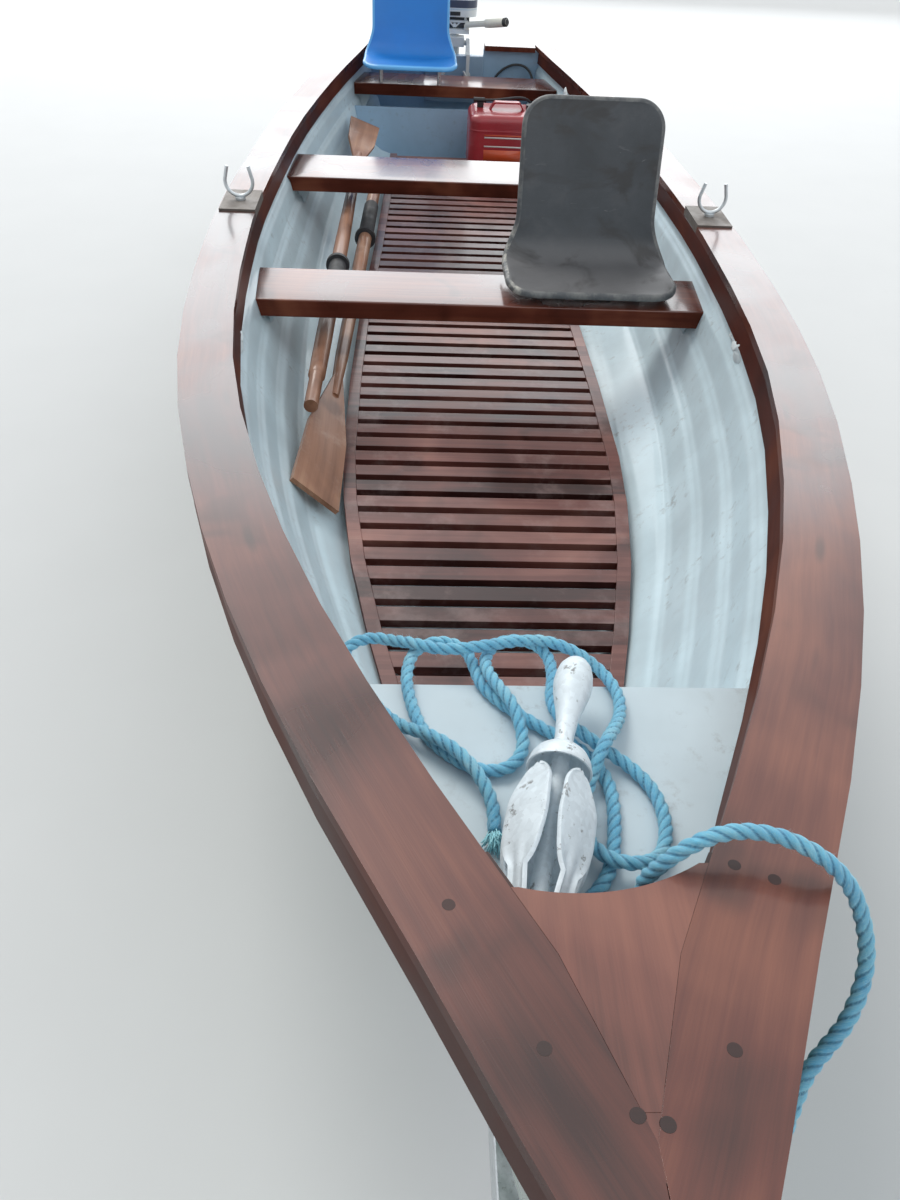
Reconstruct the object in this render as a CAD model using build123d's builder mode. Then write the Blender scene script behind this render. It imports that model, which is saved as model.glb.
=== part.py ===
"""Clinker rowing boat with its oars, seats, outboard and anchor, standing on its road trailer.

Millimetres. +X points to the bow, +Y to port, +Z up. The origin is on the ground, in the middle
of the whole length. Heights of the boat are written from the datum, the height that the
inside of the keel has about the ground, and lengths of the boat aft of its stem head."""

import os
from math import ceil, cos, pi, radians, sin, sqrt, tan

from build123d import *

os.makedirs("parts", exist_ok=True)


# Driving sizes of the boat
boat_length = 4559
half_beam = 669
datum = 400
sheer_bow = 610
sheer_middle = 329
sheer_stern = 418

# What stands ahead of the stem and behind the transom
coupling_lead = 640
motor_overhang = 330
front_end = (boat_length + coupling_lead + motor_overhang) / 2
bow = front_end - coupling_lead
stern = bow - boat_length
rear_end = stern - motor_overhang

# Clearances
seat_gap = 0.3
hull_gap = 0.5
running_gap = 0.05

# Hull skin, strakes and timber sections
skin = 7
land = 7
deck_thickness = 18
rail_height = 50
inwale_thickness = 13
inwale_height = 40
inwale_inset = 2
transom_thickness = 34
keel_width = 40
keel_depth = 25

# Guide stations of the hull: share of the length, deck half-breadth as a share of the half beam,
# side deck width, keel height about the datum, fullness of the section, and how much of the
# side deck's width the topsides are tucked in under it
guide_stations = [
    (0.000, 0.027, 110, 470, 0.00, 0.10),
    (0.012, 0.067, 110, 190, 0.00, 0.14),
    (0.030, 0.132, 110, 70, 0.02, 0.26),
    (0.060, 0.236, 110, 8, 0.06, 0.54),
    (0.100, 0.380, 112, -18, 0.16, 1.00),
    (0.160, 0.564, 108, -30, 0.36, 1.00),
    (0.230, 0.727, 102, -35, 0.60, 1.00),
    (0.320, 0.874, 98, -38, 0.84, 1.00),
    (0.420, 0.960, 99, -38, 0.97, 1.00),
    (0.540, 1.000, 97, -36, 1.00, 1.00),
    (0.680, 0.975, 95, -30, 1.06, 1.00),
    (0.840, 0.865, 95, -12, 1.16, 1.00),
    (1.000, 0.643, 76, 15, 1.18, 1.00),
]

longest_span = 0.055


def slope(number, column):
    """Slope of a column at a guide station, level where the column turns back."""
    sides = []
    for low, high in ((number - 1, number), (number, number + 1)):
        if low >= 0 and high < len(guide_stations):
            first, last = guide_stations[low], guide_stations[high]
            sides.append((last[column] - first[column]) / (last[0] - first[0]))
    if len(sides) == 1:
        return sides[0]
    return 2 * sides[0] * sides[1] / (sides[0] + sides[1]) if sides[0] * sides[1] > 0 else 0


def fair(number, column, part):
    """A column's value between two guide stations, on a smooth curve through all of them."""
    first, last = guide_stations[number], guide_stations[number + 1]
    run = last[0] - first[0]
    square, cube = part**2, part**3
    return ((2 * cube - 3 * square + 1) * first[column] + (3 * square - 2 * cube) * last[column]
            + (cube - 2 * square + part) * run * slope(number, column)
            + (cube - square) * run * slope(number + 1, column))


stations = []
for number, row in enumerate(guide_stations[:-1]):
    run = guide_stations[number + 1][0] - row[0]
    spans = ceil(run / longest_span)
    for step in range(spans):
        faired = [fair(number, column, step / spans) for column in range(1, 6)]
        stations.append((row[0] + run * step / spans, *faired))
stations.append(guide_stations[-1])

# Strake edges from the sheer to the keel: height share, breadth share in a full section,
# breadth share in a fine section
strake_edges = [
    (1.000, 1.000, 1.000),
    (0.820, 0.956, 0.880),
    (0.645, 0.913, 0.750),
    (0.475, 0.852, 0.610),
    (0.315, 0.770, 0.465),
    (0.180, 0.615, 0.315),
    (0.075, 0.375, 0.170),
    (0.000, 0.034, 0.050),
]


def sheer(share):
    """Height of the deck's top along the length."""
    rest = 1 - share
    return datum + sheer_bow * rest**2 + 2 * sheer_middle * share * rest + sheer_stern * share**2


def station_x(share):
    return bow - share * boat_length


def straight(share, value):
    """A station's value at any share, straight between the stations as the solids are."""
    for low, high in zip(stations, stations[1:]):
        if low[0] <= share <= high[0]:
            part = (share - low[0]) / (high[0] - low[0])
            return value(low) + part * (value(high) - value(low))
    return value(stations[-1])


def between(share, column):
    return straight(share, lambda row: row[column])


def deck_top(share):
    return straight(share, lambda row: sheer(row[0]))


def deck_half(share):
    return between(share, 1) * half_beam


def rail(share):
    """Width of the rub rail under the deck, outside the skin."""
    liner = inwale_inset + inwale_thickness + skin + 2 * hull_gap
    return straight(share, lambda row: row[5] * (row[2] - liner))


def hull_half(share):
    return deck_half(share) - rail(share) - hull_gap


def deck_inner(share):
    """Half-breadth of the side deck's inner edge, closed on the centreline at the stem."""
    return straight(share, lambda row: max(seat_gap, row[1] * half_beam - row[2]))


def hull_side(share, inset=0.0):
    """Port half of a clinker section from the sheer to the keel, as (y, z) points."""
    half = hull_half(share)
    keel = datum + between(share, 3)
    top = deck_top(share) - deck_thickness - hull_gap
    full = between(share, 4)
    step = land * min(1, half / 200)
    edges = []
    for height, full_y, fine_y in strake_edges:
        edges.append((half * (fine_y + full * (full_y - fine_y)), keel + height * (top - keel)))
    points = [edges[0]]
    for number, (y, z) in enumerate(edges[1:], start=1):
        if number < len(edges) - 1:
            points.append((y + step, z))
        points.append((y, z))
    if not inset:
        return points
    moved = []
    for number, (y, z) in enumerate(points):
        before = points[max(number - 2, 0)]
        after = points[min(number + 2, len(points) - 1)]
        run = sqrt((after[0] - before[0]) ** 2 + (after[1] - before[1]) ** 2)
        moved.append((max(y + inset * (after[1] - before[1]) / run, 0.5),
                      z + inset * (before[0] - after[0]) / run))
    return moved


def hull_section(share, inset=0.0, rise=0.0):
    """Closed outline of a hull section, the top lifted by rise."""
    side = hull_side(share, inset)
    top = [(side[0][0], side[0][1] + rise)] if rise else []
    port = top + side
    return port + [(-y, z) for y, z in reversed(port)]


def across(x):
    """Plane across the boat: its own x is the part's +Y and its own y is +Z."""
    return Plane(origin=(x, 0, 0), x_dir=(0, 1, 0), z_dir=(1, 0, 0))


def lofted(outlines):
    """Straight-ruled solid through (x, outline) pairs."""
    with BuildPart() as body:
        for x, outline in outlines:
            with BuildSketch(across(x)):
                with BuildLine():
                    Polyline(*outline, close=True)
                make_face()
        loft(ruled=True)
    return body.part


hull_shares = [row[0] for row in stations[1:]]


def hull_room(inset, start=0.030, rise=30):
    """Solid that fills the boat inside a skin of the given thickness, open at the top."""
    shares = [share for share in hull_shares if share >= start]
    return lofted([(station_x(share), hull_section(share, inset, rise)) for share in shares])


def strip(shares, corners):
    """Straight-ruled strip with four corners at each share."""
    return lofted([(station_x(share), corners(share)) for share in shares])


def finish(builder, label):
    builder.part.label = label
    export_step(builder.part, f"parts/{label}.step")


def block(low, high, mode=Mode.ADD):
    """Plain box from its low corner to its high corner, in the part being built."""
    size = [top - bottom for bottom, top in zip(low, high)]
    centre = tuple((top + bottom) / 2 for bottom, top in zip(low, high))
    with Locations(centre):
        return Box(*size, mode=mode)


# Hull shell
room = hull_room(skin)
room_clear = hull_room(skin + hull_gap)
hull_outside = lofted([(station_x(share), hull_section(share)) for share in hull_shares])

with BuildPart() as hull:
    add(hull_outside)
    add(room, mode=Mode.SUBTRACT)
finish(hull, "hull")

# Keel and stem
keel_line = [(station_x(row[0]) + seat_gap, datum + row[3] - seat_gap) for row in stations[1:-1]]
stem_head = (keel_line[0][0], deck_top(stations[1][0]) - deck_thickness - hull_gap)
with BuildPart() as keel:
    with BuildSketch(Plane.XZ) as keel_profile:
        with BuildLine():
            Polyline(stem_head, *keel_line)
            offset(amount=keel_depth, side=Side.LEFT)
        make_face()
    extrude(amount=keel_width / 2, both=True)
finish(keel, "keel")


# Decks: two side decks that run to the stem head, and the foredeck between them
def deck_strip(share):
    top = deck_top(share)
    low = top - deck_thickness
    outer = deck_half(share)
    return [(deck_inner(share), low), (outer, low), (outer, top), (deck_inner(share), top)]


# Rowlock pockets cut in the side decks
rowlock_aft = 2420
pocket_length = 150
pocket_width = 92
rowlock_share = rowlock_aft / boat_length
rowlock_x = bow - rowlock_aft
rowlock_y = 616
pocket_top = deck_top(rowlock_share) - 4
pocket_deep = 46

deck_shares = [row[0] for row in stations]
with BuildPart() as side_deck_port:
    add(strip(deck_shares, deck_strip))
    with Locations((rowlock_x, rowlock_y - 1, deck_top(rowlock_share))):
        Box(pocket_length, pocket_width, 60, mode=Mode.SUBTRACT)
finish(side_deck_port, "side_deck_port")
with BuildPart() as side_deck_starboard:
    add(side_deck_port.part.mirror(Plane.XZ))
finish(side_deck_starboard, "side_deck_starboard")

foredeck_shares = [0.034, 0.060, 0.090]
foredeck_corner_port = (bow - 360, 84)
foredeck_corner_starboard = (bow - 335, -73)
foredeck_middle = (bow - 331, 4)


def foredeck_section(share):
    half = deck_inner(share) - seat_gap
    top = deck_top(share)
    low = top - deck_thickness
    return [(-half, low), (half, low), (half, top), (-half, top)]


with BuildPart() as foredeck:
    add(strip(foredeck_shares, foredeck_section))
    with BuildSketch(Plane.XY.offset(datum)):
        with BuildLine():
            edge = ThreePointArc(foredeck_corner_starboard, foredeck_middle, foredeck_corner_port)
            Polyline(edge @ 1, (bow - 360, 250), (bow - 700, 250), (bow - 700, -250),
                     (bow - 335, -250), edge @ 0)
        make_face()
    extrude(amount=sheer_bow, mode=Mode.SUBTRACT)
finish(foredeck, "foredeck")

# Rub rails outside the skin and inwales under the decks' inner edges
rail_shares = [row[0] for row in stations[1:]]


def rail_strip(share):
    top = deck_top(share) - deck_thickness - seat_gap
    outer = deck_half(share) - 2
    inner = deck_half(share) - rail(share)
    return [(inner, top - rail_height), (outer, top - rail_height), (outer, top), (inner, top)]


with BuildPart() as rub_rails:
    add(strip(rail_shares, rail_strip))
    mirror(about=Plane.XZ)
finish(rub_rails, "rub_rails")

inwale_shares = [0.085] + [row[0] for row in stations[4:-1]] + [0.988]


def skin_inside(share, height):
    """Half-breadth inside the skin at a height."""
    side = hull_side(share, skin)
    for (high_y, high_z), (low_y, low_z) in zip(side, side[1:]):
        if low_z <= height <= high_z and high_z > low_z:
            return low_y + (height - low_z) / (high_z - low_z) * (high_y - low_y)
    return side[0][0]


def inwale_strip(share):
    top = deck_top(share) - deck_thickness - seat_gap
    low = top - inwale_height
    outer_top = deck_inner(share) + inwale_inset + inwale_thickness
    outer_low = min(outer_top, skin_inside(share, low) - 2 * hull_gap)
    return [(outer_low - inwale_thickness, low), (outer_low, low), (outer_top, top),
            (outer_top - inwale_thickness, top)]


with BuildPart() as inwales:
    add(strip(inwale_shares, inwale_strip))
    mirror(about=Plane.XZ)
finish(inwales, "inwales")

# Transom, with the notch for the motor
notch_half = 128
notch_floor = datum + 372
pad_thickness = 14
with BuildPart() as transom:
    add(room_clear)
    block((stern + hull_gap, -700, 0), (stern + transom_thickness, 700, 2000), mode=Mode.INTERSECT)
    transom_top = deck_top(1 - transom_thickness / boat_length) - deck_thickness - hull_gap
    block((stern - 1, -700, transom_top), (stern + 50, 700, 2000), mode=Mode.SUBTRACT)
    block((stern - 1, -notch_half, notch_floor), (stern + 50, notch_half, 2000), mode=Mode.SUBTRACT)
finish(transom, "transom")

cap_low = deck_top(1 - transom_thickness / boat_length) - deck_thickness - hull_gap + seat_gap
cap_width = 70
cap_overhang = 8
cap_end = deck_inner(1) - 2 - inwale_inset
with BuildPart() as transom_cap:
    for side in (-1, 1):
        ends = sorted((side * (notch_half + 2), side * cap_end))
        low = (stern - cap_overhang, ends[0], cap_low)
        high = (stern - cap_overhang + cap_width, ends[1], deck_top(1))
        block(low, high)
finish(transom_cap, "transom_cap")
with BuildPart() as motor_pad:
    block((stern + transom_thickness + seat_gap, -notch_half, datum + 190),
          (stern + transom_thickness + pad_thickness, notch_half, notch_floor))
finish(motor_pad, "motor_pad")

# Thwarts: distance aft to the front edge, length fore and aft, half-length across
thwart_top = datum + 320
thwart_thickness = 44
thwarts = {
    "thwart_forward": (2046, 194, 566),
    "thwart_mid": (2960, 239, 562),
    "thwart_aft": (4200, 200, 420),
}
knee_width = 95
knee_drop = 120
knee_reach = 70
with BuildPart() as thwart_knees:
    for aft, run, half in thwarts.values():
        centre = bow - aft - run / 2
        for side in (-1, 1):
            with BuildSketch(across(centre - knee_width / 2)):
                with BuildLine():
                    top = thwart_top - thwart_thickness - seat_gap
                    Polyline((side * (half - knee_reach), top), (side * 700, top),
                             (side * 700, top - 300), (side * (half - 10), top - knee_drop), close=True)
                make_face()
            extrude(amount=knee_width)
    add(room_clear, mode=Mode.INTERSECT)
finish(thwart_knees, "thwart_knees")

for name, (aft, run, half) in thwarts.items():
    with BuildPart() as thwart:
        with Locations((bow - aft - run / 2, 0, thwart_top - thwart_thickness / 2)):
            Box(run, 2 * half, thwart_thickness)
        fillet(thwart.edges().filter_by(Axis.Y), 5)
        add(room_clear, mode=Mode.INTERSECT)
    finish(thwart, name)

# Bow locker and the bulkhead under the aft thwart
locker_aft = 650
locker_top = datum + 478
locker_skin = 8
with BuildPart() as bow_locker:
    with BuildSketch(Plane.XZ):
        with BuildLine():
            Polyline((bow - 210, locker_top), (bow - locker_aft, locker_top), (bow - locker_aft, datum - 100),
                     (bow - locker_aft + locker_skin, datum - 100),
                     (bow - locker_aft + locker_skin, locker_top - locker_skin),
                     (bow - 210, locker_top - locker_skin), close=True)
        make_face()
    extrude(amount=600, both=True)
    add(room_clear, mode=Mode.INTERSECT)
finish(bow_locker, "bow_locker")

bulkhead_aft = 4150
bulkhead_skin = 8
bulkhead_top = datum + 245
with BuildPart() as aft_bulkhead:
    block((bow - bulkhead_aft - bulkhead_skin, -600, datum - 100), (bow - bulkhead_aft, 600, bulkhead_top))
    add(room_clear, mode=Mode.INTERSECT)
finish(aft_bulkhead, "aft_bulkhead")

# Floor grating: distance aft and half-width of its outline
grating_outline = [(975, 199), (1160, 243), (1360, 282), (1560, 308), (1750, 321), (2100, 324),
                   (2500, 318), (3000, 297), (3500, 281), (4060, 268)]
slat_pitch = 60
slat_width = 39
slat_thickness = 18
grating_top = datum + 89
grating_frame = 28
frame_thickness = 24
slats = 51


def grating_half(aft):
    for low, high in zip(grating_outline, grating_outline[1:]):
        if low[0] <= aft <= high[0]:
            return low[1] + (aft - low[0]) / (high[0] - low[0]) * (high[1] - low[1])
    return grating_outline[-1][1]


with BuildPart() as floor_grating:
    outer = [(bow - aft, half) for aft, half in grating_outline]
    inner = [(bow - aft, half - grating_frame) for aft, half in grating_outline]
    for side in (-1, 1):
        with BuildSketch(Plane.XY.offset(grating_top + 3 - frame_thickness)):
            with BuildLine():
                Polyline(*[(x, side * y) for x, y in outer + inner[::-1]], close=True)
            make_face()
        extrude(amount=frame_thickness)
    for number in range(slats):
        aft = 1000 + slat_pitch * number
        half = grating_half(aft + slat_width / 2) - grating_frame / 2
        with Locations((bow - aft - slat_width / 2, 0, grating_top - slat_thickness / 2)):
            Box(slat_width, 2 * half, slat_thickness)
    for aft in (1080, 1980, 2940, 3900):
        half = grating_half(aft) - 40
        block((bow - aft - 25, -half, datum - 60), (bow - aft, half, grating_top - slat_thickness))
    add(room_clear, mode=Mode.INTERSECT)
finish(floor_grating, "floor_grating")

# Rowlock sockets: blocks in the pockets, on the skin's edge and the rub rail
socket_top = deck_top(rowlock_share) + 8
shank_radius = 8
shank_length = 22
socket_low = deck_top((rowlock_aft - pocket_length / 2) / boat_length) - deck_thickness
with BuildPart() as rowlock_sockets:
    for side in (-1, 1):
        with Locations((rowlock_x, side * (rowlock_y - 1), (socket_low + socket_top) / 2)):
            Box(pocket_length - 2 * seat_gap, pocket_width - 2 * seat_gap, socket_top - socket_low)
        with Locations((rowlock_x, side * rowlock_y, socket_top)):
            Hole(shank_radius + running_gap, 2 * deck_thickness + 20)
finish(rowlock_sockets, "rowlock_sockets")

# Rowlocks: a horned fork on a shank
horn_radius = 4.5
horn_half = 35
horn_end = 30
collar_radius = 13
collar_height = 6
for name, side in (("rowlock_starboard", -1), ("rowlock_port", 1)):
    with BuildPart() as rowlock:
        base = socket_top + seat_gap
        with BuildSketch(Plane.XY.offset(base)):
            with Locations((rowlock_x, side * rowlock_y)):
                Circle(collar_radius)
        extrude(amount=collar_height)
        with BuildSketch(Plane.XY.offset(base - shank_length)):
            with Locations((rowlock_x, side * rowlock_y)):
                Circle(shank_radius)
        extrude(amount=shank_length + collar_height)
        low = base + collar_height + horn_radius - 2
        middle = side * rowlock_y
        for way in (-1, 1):
            with BuildLine(across(rowlock_x)):
                bend = JernArc((middle, low), (way, 0), horn_half, way * 104)
                Line(bend @ 1, bend @ 1 + (bend % 1) * horn_end)
            with BuildSketch(Plane(origin=(rowlock_x, middle, low), z_dir=(0, way, 0))):
                Circle(horn_radius)
            sweep()
    finish(rowlock, name)


# Oars: blade end at the origin, the shaft along +X
oar_length = 2240
blade_length = 470
blade_half = 60
blade_thickness = 11
shaft_radius = 21
neck_radius = 17
handle_radius = 16
handle_length = 140
collar_from_tip = 1440
sleeve_length = 300
with BuildPart() as oar_shape:
    with BuildSketch(Plane.XZ):
        with BuildLine():
            grip = oar_length - handle_length
            Polyline((blade_length - 60, 0), (blade_length - 60, neck_radius - 6),
                     (blade_length + 160, neck_radius), (collar_from_tip - 200, shaft_radius),
                     (oar_length - 320, shaft_radius), (grip, shaft_radius - 1), (grip + 8, handle_radius),
                     (oar_length, handle_radius), (oar_length, 0), close=True)
        make_face()
    revolve(axis=Axis.X)
    with BuildSketch(Plane.XY.offset(-blade_thickness / 2)):
        with BuildLine():
            Polyline((0, -blade_half), (0, blade_half), (250, blade_half - 8), (blade_length + 40, 12),
                     (blade_length + 40, -12), (250, -blade_half + 8), close=True)
        make_face()
    extrude(amount=blade_thickness)
with BuildPart() as sleeve_shape:
    with BuildSketch(Plane.XZ):
        with BuildLine():
            bore = shaft_radius + seat_gap
            Polyline((collar_from_tip, bore), (collar_from_tip, bore + 12), (collar_from_tip + 14, bore + 12),
                     (collar_from_tip + 14, bore + 3), (collar_from_tip + sleeve_length, bore + 3),
                     (collar_from_tip + sleeve_length, bore), close=True)
        make_face()
    revolve(axis=Axis.X)

# Where each oar lies: blade tip and handle end as (aft, y, height), and the blade's roll
oars = {
    "oar_forward_blade": ((1480, -360, 153), (3720, -300, 149), 42),
    "oar_aft_blade": ((3990, -368, 220), (1765, -388, 206), -20),
}


def laid(tip, end, roll):
    """Location that lays an oar from its blade tip to its handle end."""
    start = Vector(bow - tip[0], tip[1], datum + tip[2])
    reach = Vector(bow - end[0], end[1], datum + end[2]) - start
    level = Plane(origin=start, x_dir=reach, z_dir=Vector(0, 0, 1) - reach * (reach.Z / reach.length**2))
    return level.location * Rot(roll, 0, 0)


for name, (tip, end, roll) in oars.items():
    with BuildPart() as oar:
        add(oar_shape.part.moved(laid(tip, end, roll)))
    finish(oar, name)
with BuildPart() as oar_sleeves:
    for tip, end, roll in oars.values():
        add(sleeve_shape.part.moved(laid(tip, end, roll)))
finish(oar_sleeves, "oar_sleeves")

# Seats: moulded shells, pan and back in one bent sheet, trimmed round the edges
shell = 5
lip = 12
pan_run = 238
pan_rise = 4
pan_fall = 6


def pan_slope(place):
    """Height of the pan's underside against its nominal height, at a distance behind the front."""
    return pan_rise - (pan_rise + pan_fall) * (place - lip) / (pan_run - lip)


def seat_shell(front, y, pan_height, half, back_half, back_height, run):
    bent = ((front, pan_height - 22), (front - lip, pan_height + pan_rise),
            (front - pan_run, pan_height - pan_fall), (front - run, pan_height + back_height))
    with BuildPart() as seat:
        with BuildSketch(Plane.XZ):
            with BuildLine():
                FilletPolyline(*bent, radius=[12, 70])
                offset(amount=shell, side=Side.RIGHT)
            make_face()
        extrude(amount=half, both=True)
        with BuildSketch(Plane.YZ.offset(front - 1.2 * run)) as outline:
            with BuildLine():
                top = pan_height + back_height + shell
                Polyline((-half, pan_height - 40), (-half, pan_height + 60), (-back_half, top),
                         (back_half, top), (half, pan_height + 60), (half, pan_height - 40), close=True)
            make_face()
            fillet(outline.vertices().group_by(Axis.Y)[-1], 55)
        extrude(amount=1.5 * run, mode=Mode.INTERSECT)
        with BuildSketch(Plane.XY.offset(pan_height - 60)) as trim:
            with Locations((front - 0.6 * run, 0)):
                RectangleRounded(1.2 * run, 2 * half, 60)
        extrude(amount=back_height + 120, mode=Mode.INTERSECT)
    return seat.part.moved(Location((0, y, 0)))


black_front = bow - 2046
black_y = 268
black_pan = thwart_top + 26
with BuildPart() as seat_black:
    add(seat_shell(black_front, black_y, black_pan, 200, 166, 350, 330))
finish(seat_black, "seat_black")
blue_front = bow - 4112
blue_y = -190
blue_pan = datum + 392
with BuildPart() as seat_blue:
    add(seat_shell(blue_front, blue_y, blue_pan, 183, 150, 350, 330))
finish(seat_blue, "seat_blue")

# Seat mounts: flat bars on studs between each thwart and its seat
bar_thickness = 6
bar_half = 12
bar_reach = 140
stud_reach = 120
stud_radius = 7
with BuildPart() as seat_mounts:
    for front, y, pan, places in (
        (black_front, black_y, black_pan, (70, 150)),
        (blue_front, blue_y, blue_pan, (112, 172)),
    ):
        for place in places:
            low = thwart_top + seat_gap
            under = pan + pan_slope(place + bar_half) - seat_gap
            block((front - place - bar_half, y - bar_reach, under - bar_thickness),
                  (front - place + bar_half, y + bar_reach, under))
            for side in (-stud_reach, stud_reach):
                with Locations((front - place, y + side, (low + under) / 2)):
                    Cylinder(stud_radius, under - low)
finish(seat_mounts, "seat_mounts")

# Fuel tank with its strap handle, cap and hose fitting
tank_front = bow - 3840
tank_run = 232
tank_low_y = 46
tank_width = 300
tank_height = 206
tank_base = grating_top + 3 + seat_gap
tank_y = tank_low_y + tank_width / 2
tank_x = tank_front - tank_run / 2
tank_top = tank_base + tank_height
with BuildPart() as fuel_tank:
    with BuildSketch(Plane.XY.offset(tank_base)):
        with Locations((tank_x, tank_y)):
            RectangleRounded(tank_run, tank_width, 45)
    extrude(amount=tank_height)
    fillet(fuel_tank.edges().group_by(Axis.Z)[-1], 26)
    fillet(fuel_tank.edges().group_by(Axis.Z)[0], 18)
    with BuildSketch(Plane.YZ.offset(tank_x)):
        with BuildLine():
            FilletPolyline((tank_y - 68, tank_top - 4), (tank_y - 50, tank_top + 26), (tank_y + 50, tank_top + 26),
                           (tank_y + 68, tank_top - 4), radius=12)
            offset(amount=3)
        make_face()
    extrude(amount=14, both=True)
finish(fuel_tank, "fuel_tank")
cap_y = tank_y + 100
fitting_x = tank_x - 30
fitting_y = tank_y - 104
fitting_z = tank_top + 25
fitting_length = 44
fitting_end = fitting_y + 16
with BuildPart() as tank_fittings:
    with Locations((tank_x, cap_y, tank_top + seat_gap + 10)):
        Cylinder(24, 20)
    with Locations((fitting_x, fitting_y, tank_top + seat_gap + 9)):
        Cylinder(13, 18)
    with Locations((fitting_x, fitting_end - fitting_length / 2, fitting_z)):
        Cylinder(9, fitting_length, rotation=(90, 0, 0))
finish(tank_fittings, "tank_fittings")

# Folding anchor: head end at the origin, the shank along +Z
anchor_length = 390
with BuildPart() as anchor:
    with BuildSketch(Plane.XZ):
        with BuildLine():
            Polyline((0, 0), (9, 2), (17, 18), (19, 40), (13, 78), (8, 96), (8, 118), (31, 118), (31, 124),
                     (22, 130), (9, 138), (9, anchor_length - 40), (17, anchor_length - 30),
                     (17, anchor_length - 6), (0, anchor_length), close=True)
        make_face()
    revolve(axis=Axis.Z)
    for turn in (0, 90, 180, 270):
        with BuildSketch(Plane.XZ.rotated((0, 0, turn + 45)).offset(-5)):
            with BuildLine():
                Polyline((12, anchor_length - 12), (26, anchor_length - 30), (30, 250), (44, 170), (40, 146),
                         (34, 146), (26, 170), (20, 260), (12, anchor_length - 40), close=True)
            make_face()
        extrude(amount=10)
        with BuildSketch(Plane.YZ.rotated((0, 0, turn + 45)).offset(30)):
            with Locations((0, 205)):
                Ellipse(28, 62)
        extrude(amount=5)
anchor_head = (648, 22, 529.8)
anchor_end = (270, -70, 516.8)


anchor_start = Vector(bow - anchor_head[0], anchor_head[1], datum + anchor_head[2])
anchor_reach = Vector(bow - anchor_end[0], anchor_end[1], datum + anchor_end[2]) - anchor_start
anchor_plane = Plane(origin=anchor_start, z_dir=anchor_reach)
with BuildPart() as anchor_laid:
    add(anchor.part.moved(anchor_plane.location))
finish(anchor_laid, "anchor")

# Outboard: clamp, swivel, leg, engine, cowl, tiller and propeller
tilt_x = stern - 14
tilt_z = datum + 412
steer_x = stern - 60
leg_x = stern - 150
clamp_y = 58
clamp_thickness = 14
pin_radius = 10
steer_radius = 14
pad_face = stern + transom_thickness + pad_thickness
screw_z = datum + 300
with BuildPart() as motor_clamp:
    for side in (-1, 1):
        with BuildSketch(Plane.XZ.offset(-side * clamp_y)):
            with BuildLine():
                Polyline((stern - 24, datum + 240), (stern - 3, datum + 240), (stern - 3, notch_floor + seat_gap),
                         (pad_face + 30, notch_floor + seat_gap), (pad_face + 30, screw_z - 26),
                         (pad_face + 46, screw_z - 26), (pad_face + 46, notch_floor + 14),
                         (tilt_x + 18, tilt_z + 16), (tilt_x - 12, tilt_z + 16), (stern - 34, datum + 372), close=True)
            make_face()
        extrude(amount=clamp_thickness / 2, both=True)
        with Locations((pad_face + 45, side * clamp_y, screw_z)):
            Cylinder(6, 88, rotation=(0, 90, 0))
        with Locations((pad_face + 5, side * clamp_y, screw_z)):
            Cylinder(15, 8, rotation=(0, 90, 0))
        with Locations((pad_face + 84, side * clamp_y, screw_z)):
            Cylinder(4, 74, rotation=(32 * side, 0, 0))
    with Locations((tilt_x, 0, tilt_z)):
        Cylinder(pin_radius, 2 * clamp_y + clamp_thickness, rotation=(90, 0, 0))
finish(motor_clamp, "motor_clamp")

swivel_half = 42
with BuildPart() as motor_swivel:
    block((steer_x - 8, -swivel_half, datum + 398), (stern + 2, swivel_half, datum + 432))
    with Locations((steer_x, 0, datum + 306)):
        Cylinder(24, 252)
    block((steer_x, -6, datum + 210), (stern - 10, 6, datum + 400))
    with Locations((tilt_x, 0, tilt_z)):
        Cylinder(pin_radius + running_gap, 200, rotation=(90, 0, 0), mode=Mode.SUBTRACT)
    with Locations((steer_x, 0, datum + 300)):
        Cylinder(steer_radius + running_gap, 400, mode=Mode.SUBTRACT)
finish(motor_swivel, "motor_swivel")

propeller_z = datum - 135
prop_shaft = 8
gearcase_end = stern - 262
leg_outline = [(58, 0), (48, 14), (20, 24), (-25, 24), (-52, 12), (-60, 0)]
plate_outline = [(66, 0), (46, 44), (6, 74), (-70, 84), (-140, 70), (-152, 0)]
with BuildPart() as motor_leg:
    with Locations((steer_x, 0, datum + 304)):
        Cylinder(steer_radius, 308)
    block((leg_x, -22, datum + 150), (steer_x + 20, 22, datum + 171))
    block((leg_x - 60, -64, datum + 441), (steer_x + 24, 64, datum + 458))
    for outline, low, high in ((leg_outline, propeller_z, datum + 458), (plate_outline, datum - 20, datum - 14)):
        with BuildSketch(Plane.XY.offset(low)):
            with BuildLine():
                Polyline(*[(leg_x + x, y) for x, y in outline + [(x, -y) for x, y in outline[-2:0:-1]]], close=True)
            make_face()
        extrude(amount=high - low)
    with BuildSketch(Plane.XZ):
        with BuildLine():
            Polyline((gearcase_end, propeller_z), (gearcase_end, propeller_z + 27), (leg_x - 50, propeller_z + 34),
                     (leg_x + 20, propeller_z + 34), (leg_x + 50, propeller_z + 22), (leg_x + 66, propeller_z),
                     close=True)
        make_face()
    revolve(axis=Axis((0, 0, propeller_z), (1, 0, 0)))
    with BuildSketch(Plane.XZ):
        with BuildLine():
            Polyline((leg_x + 40, propeller_z), (leg_x - 20, datum - 238), (leg_x - 80, datum - 238),
                     (leg_x - 90, propeller_z), close=True)
        make_face()
    extrude(amount=4, both=True)
    with Locations((gearcase_end - 28, 0, propeller_z)):
        Cylinder(prop_shaft, 68, rotation=(0, 90, 0))
finish(motor_leg, "motor_leg")

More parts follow.
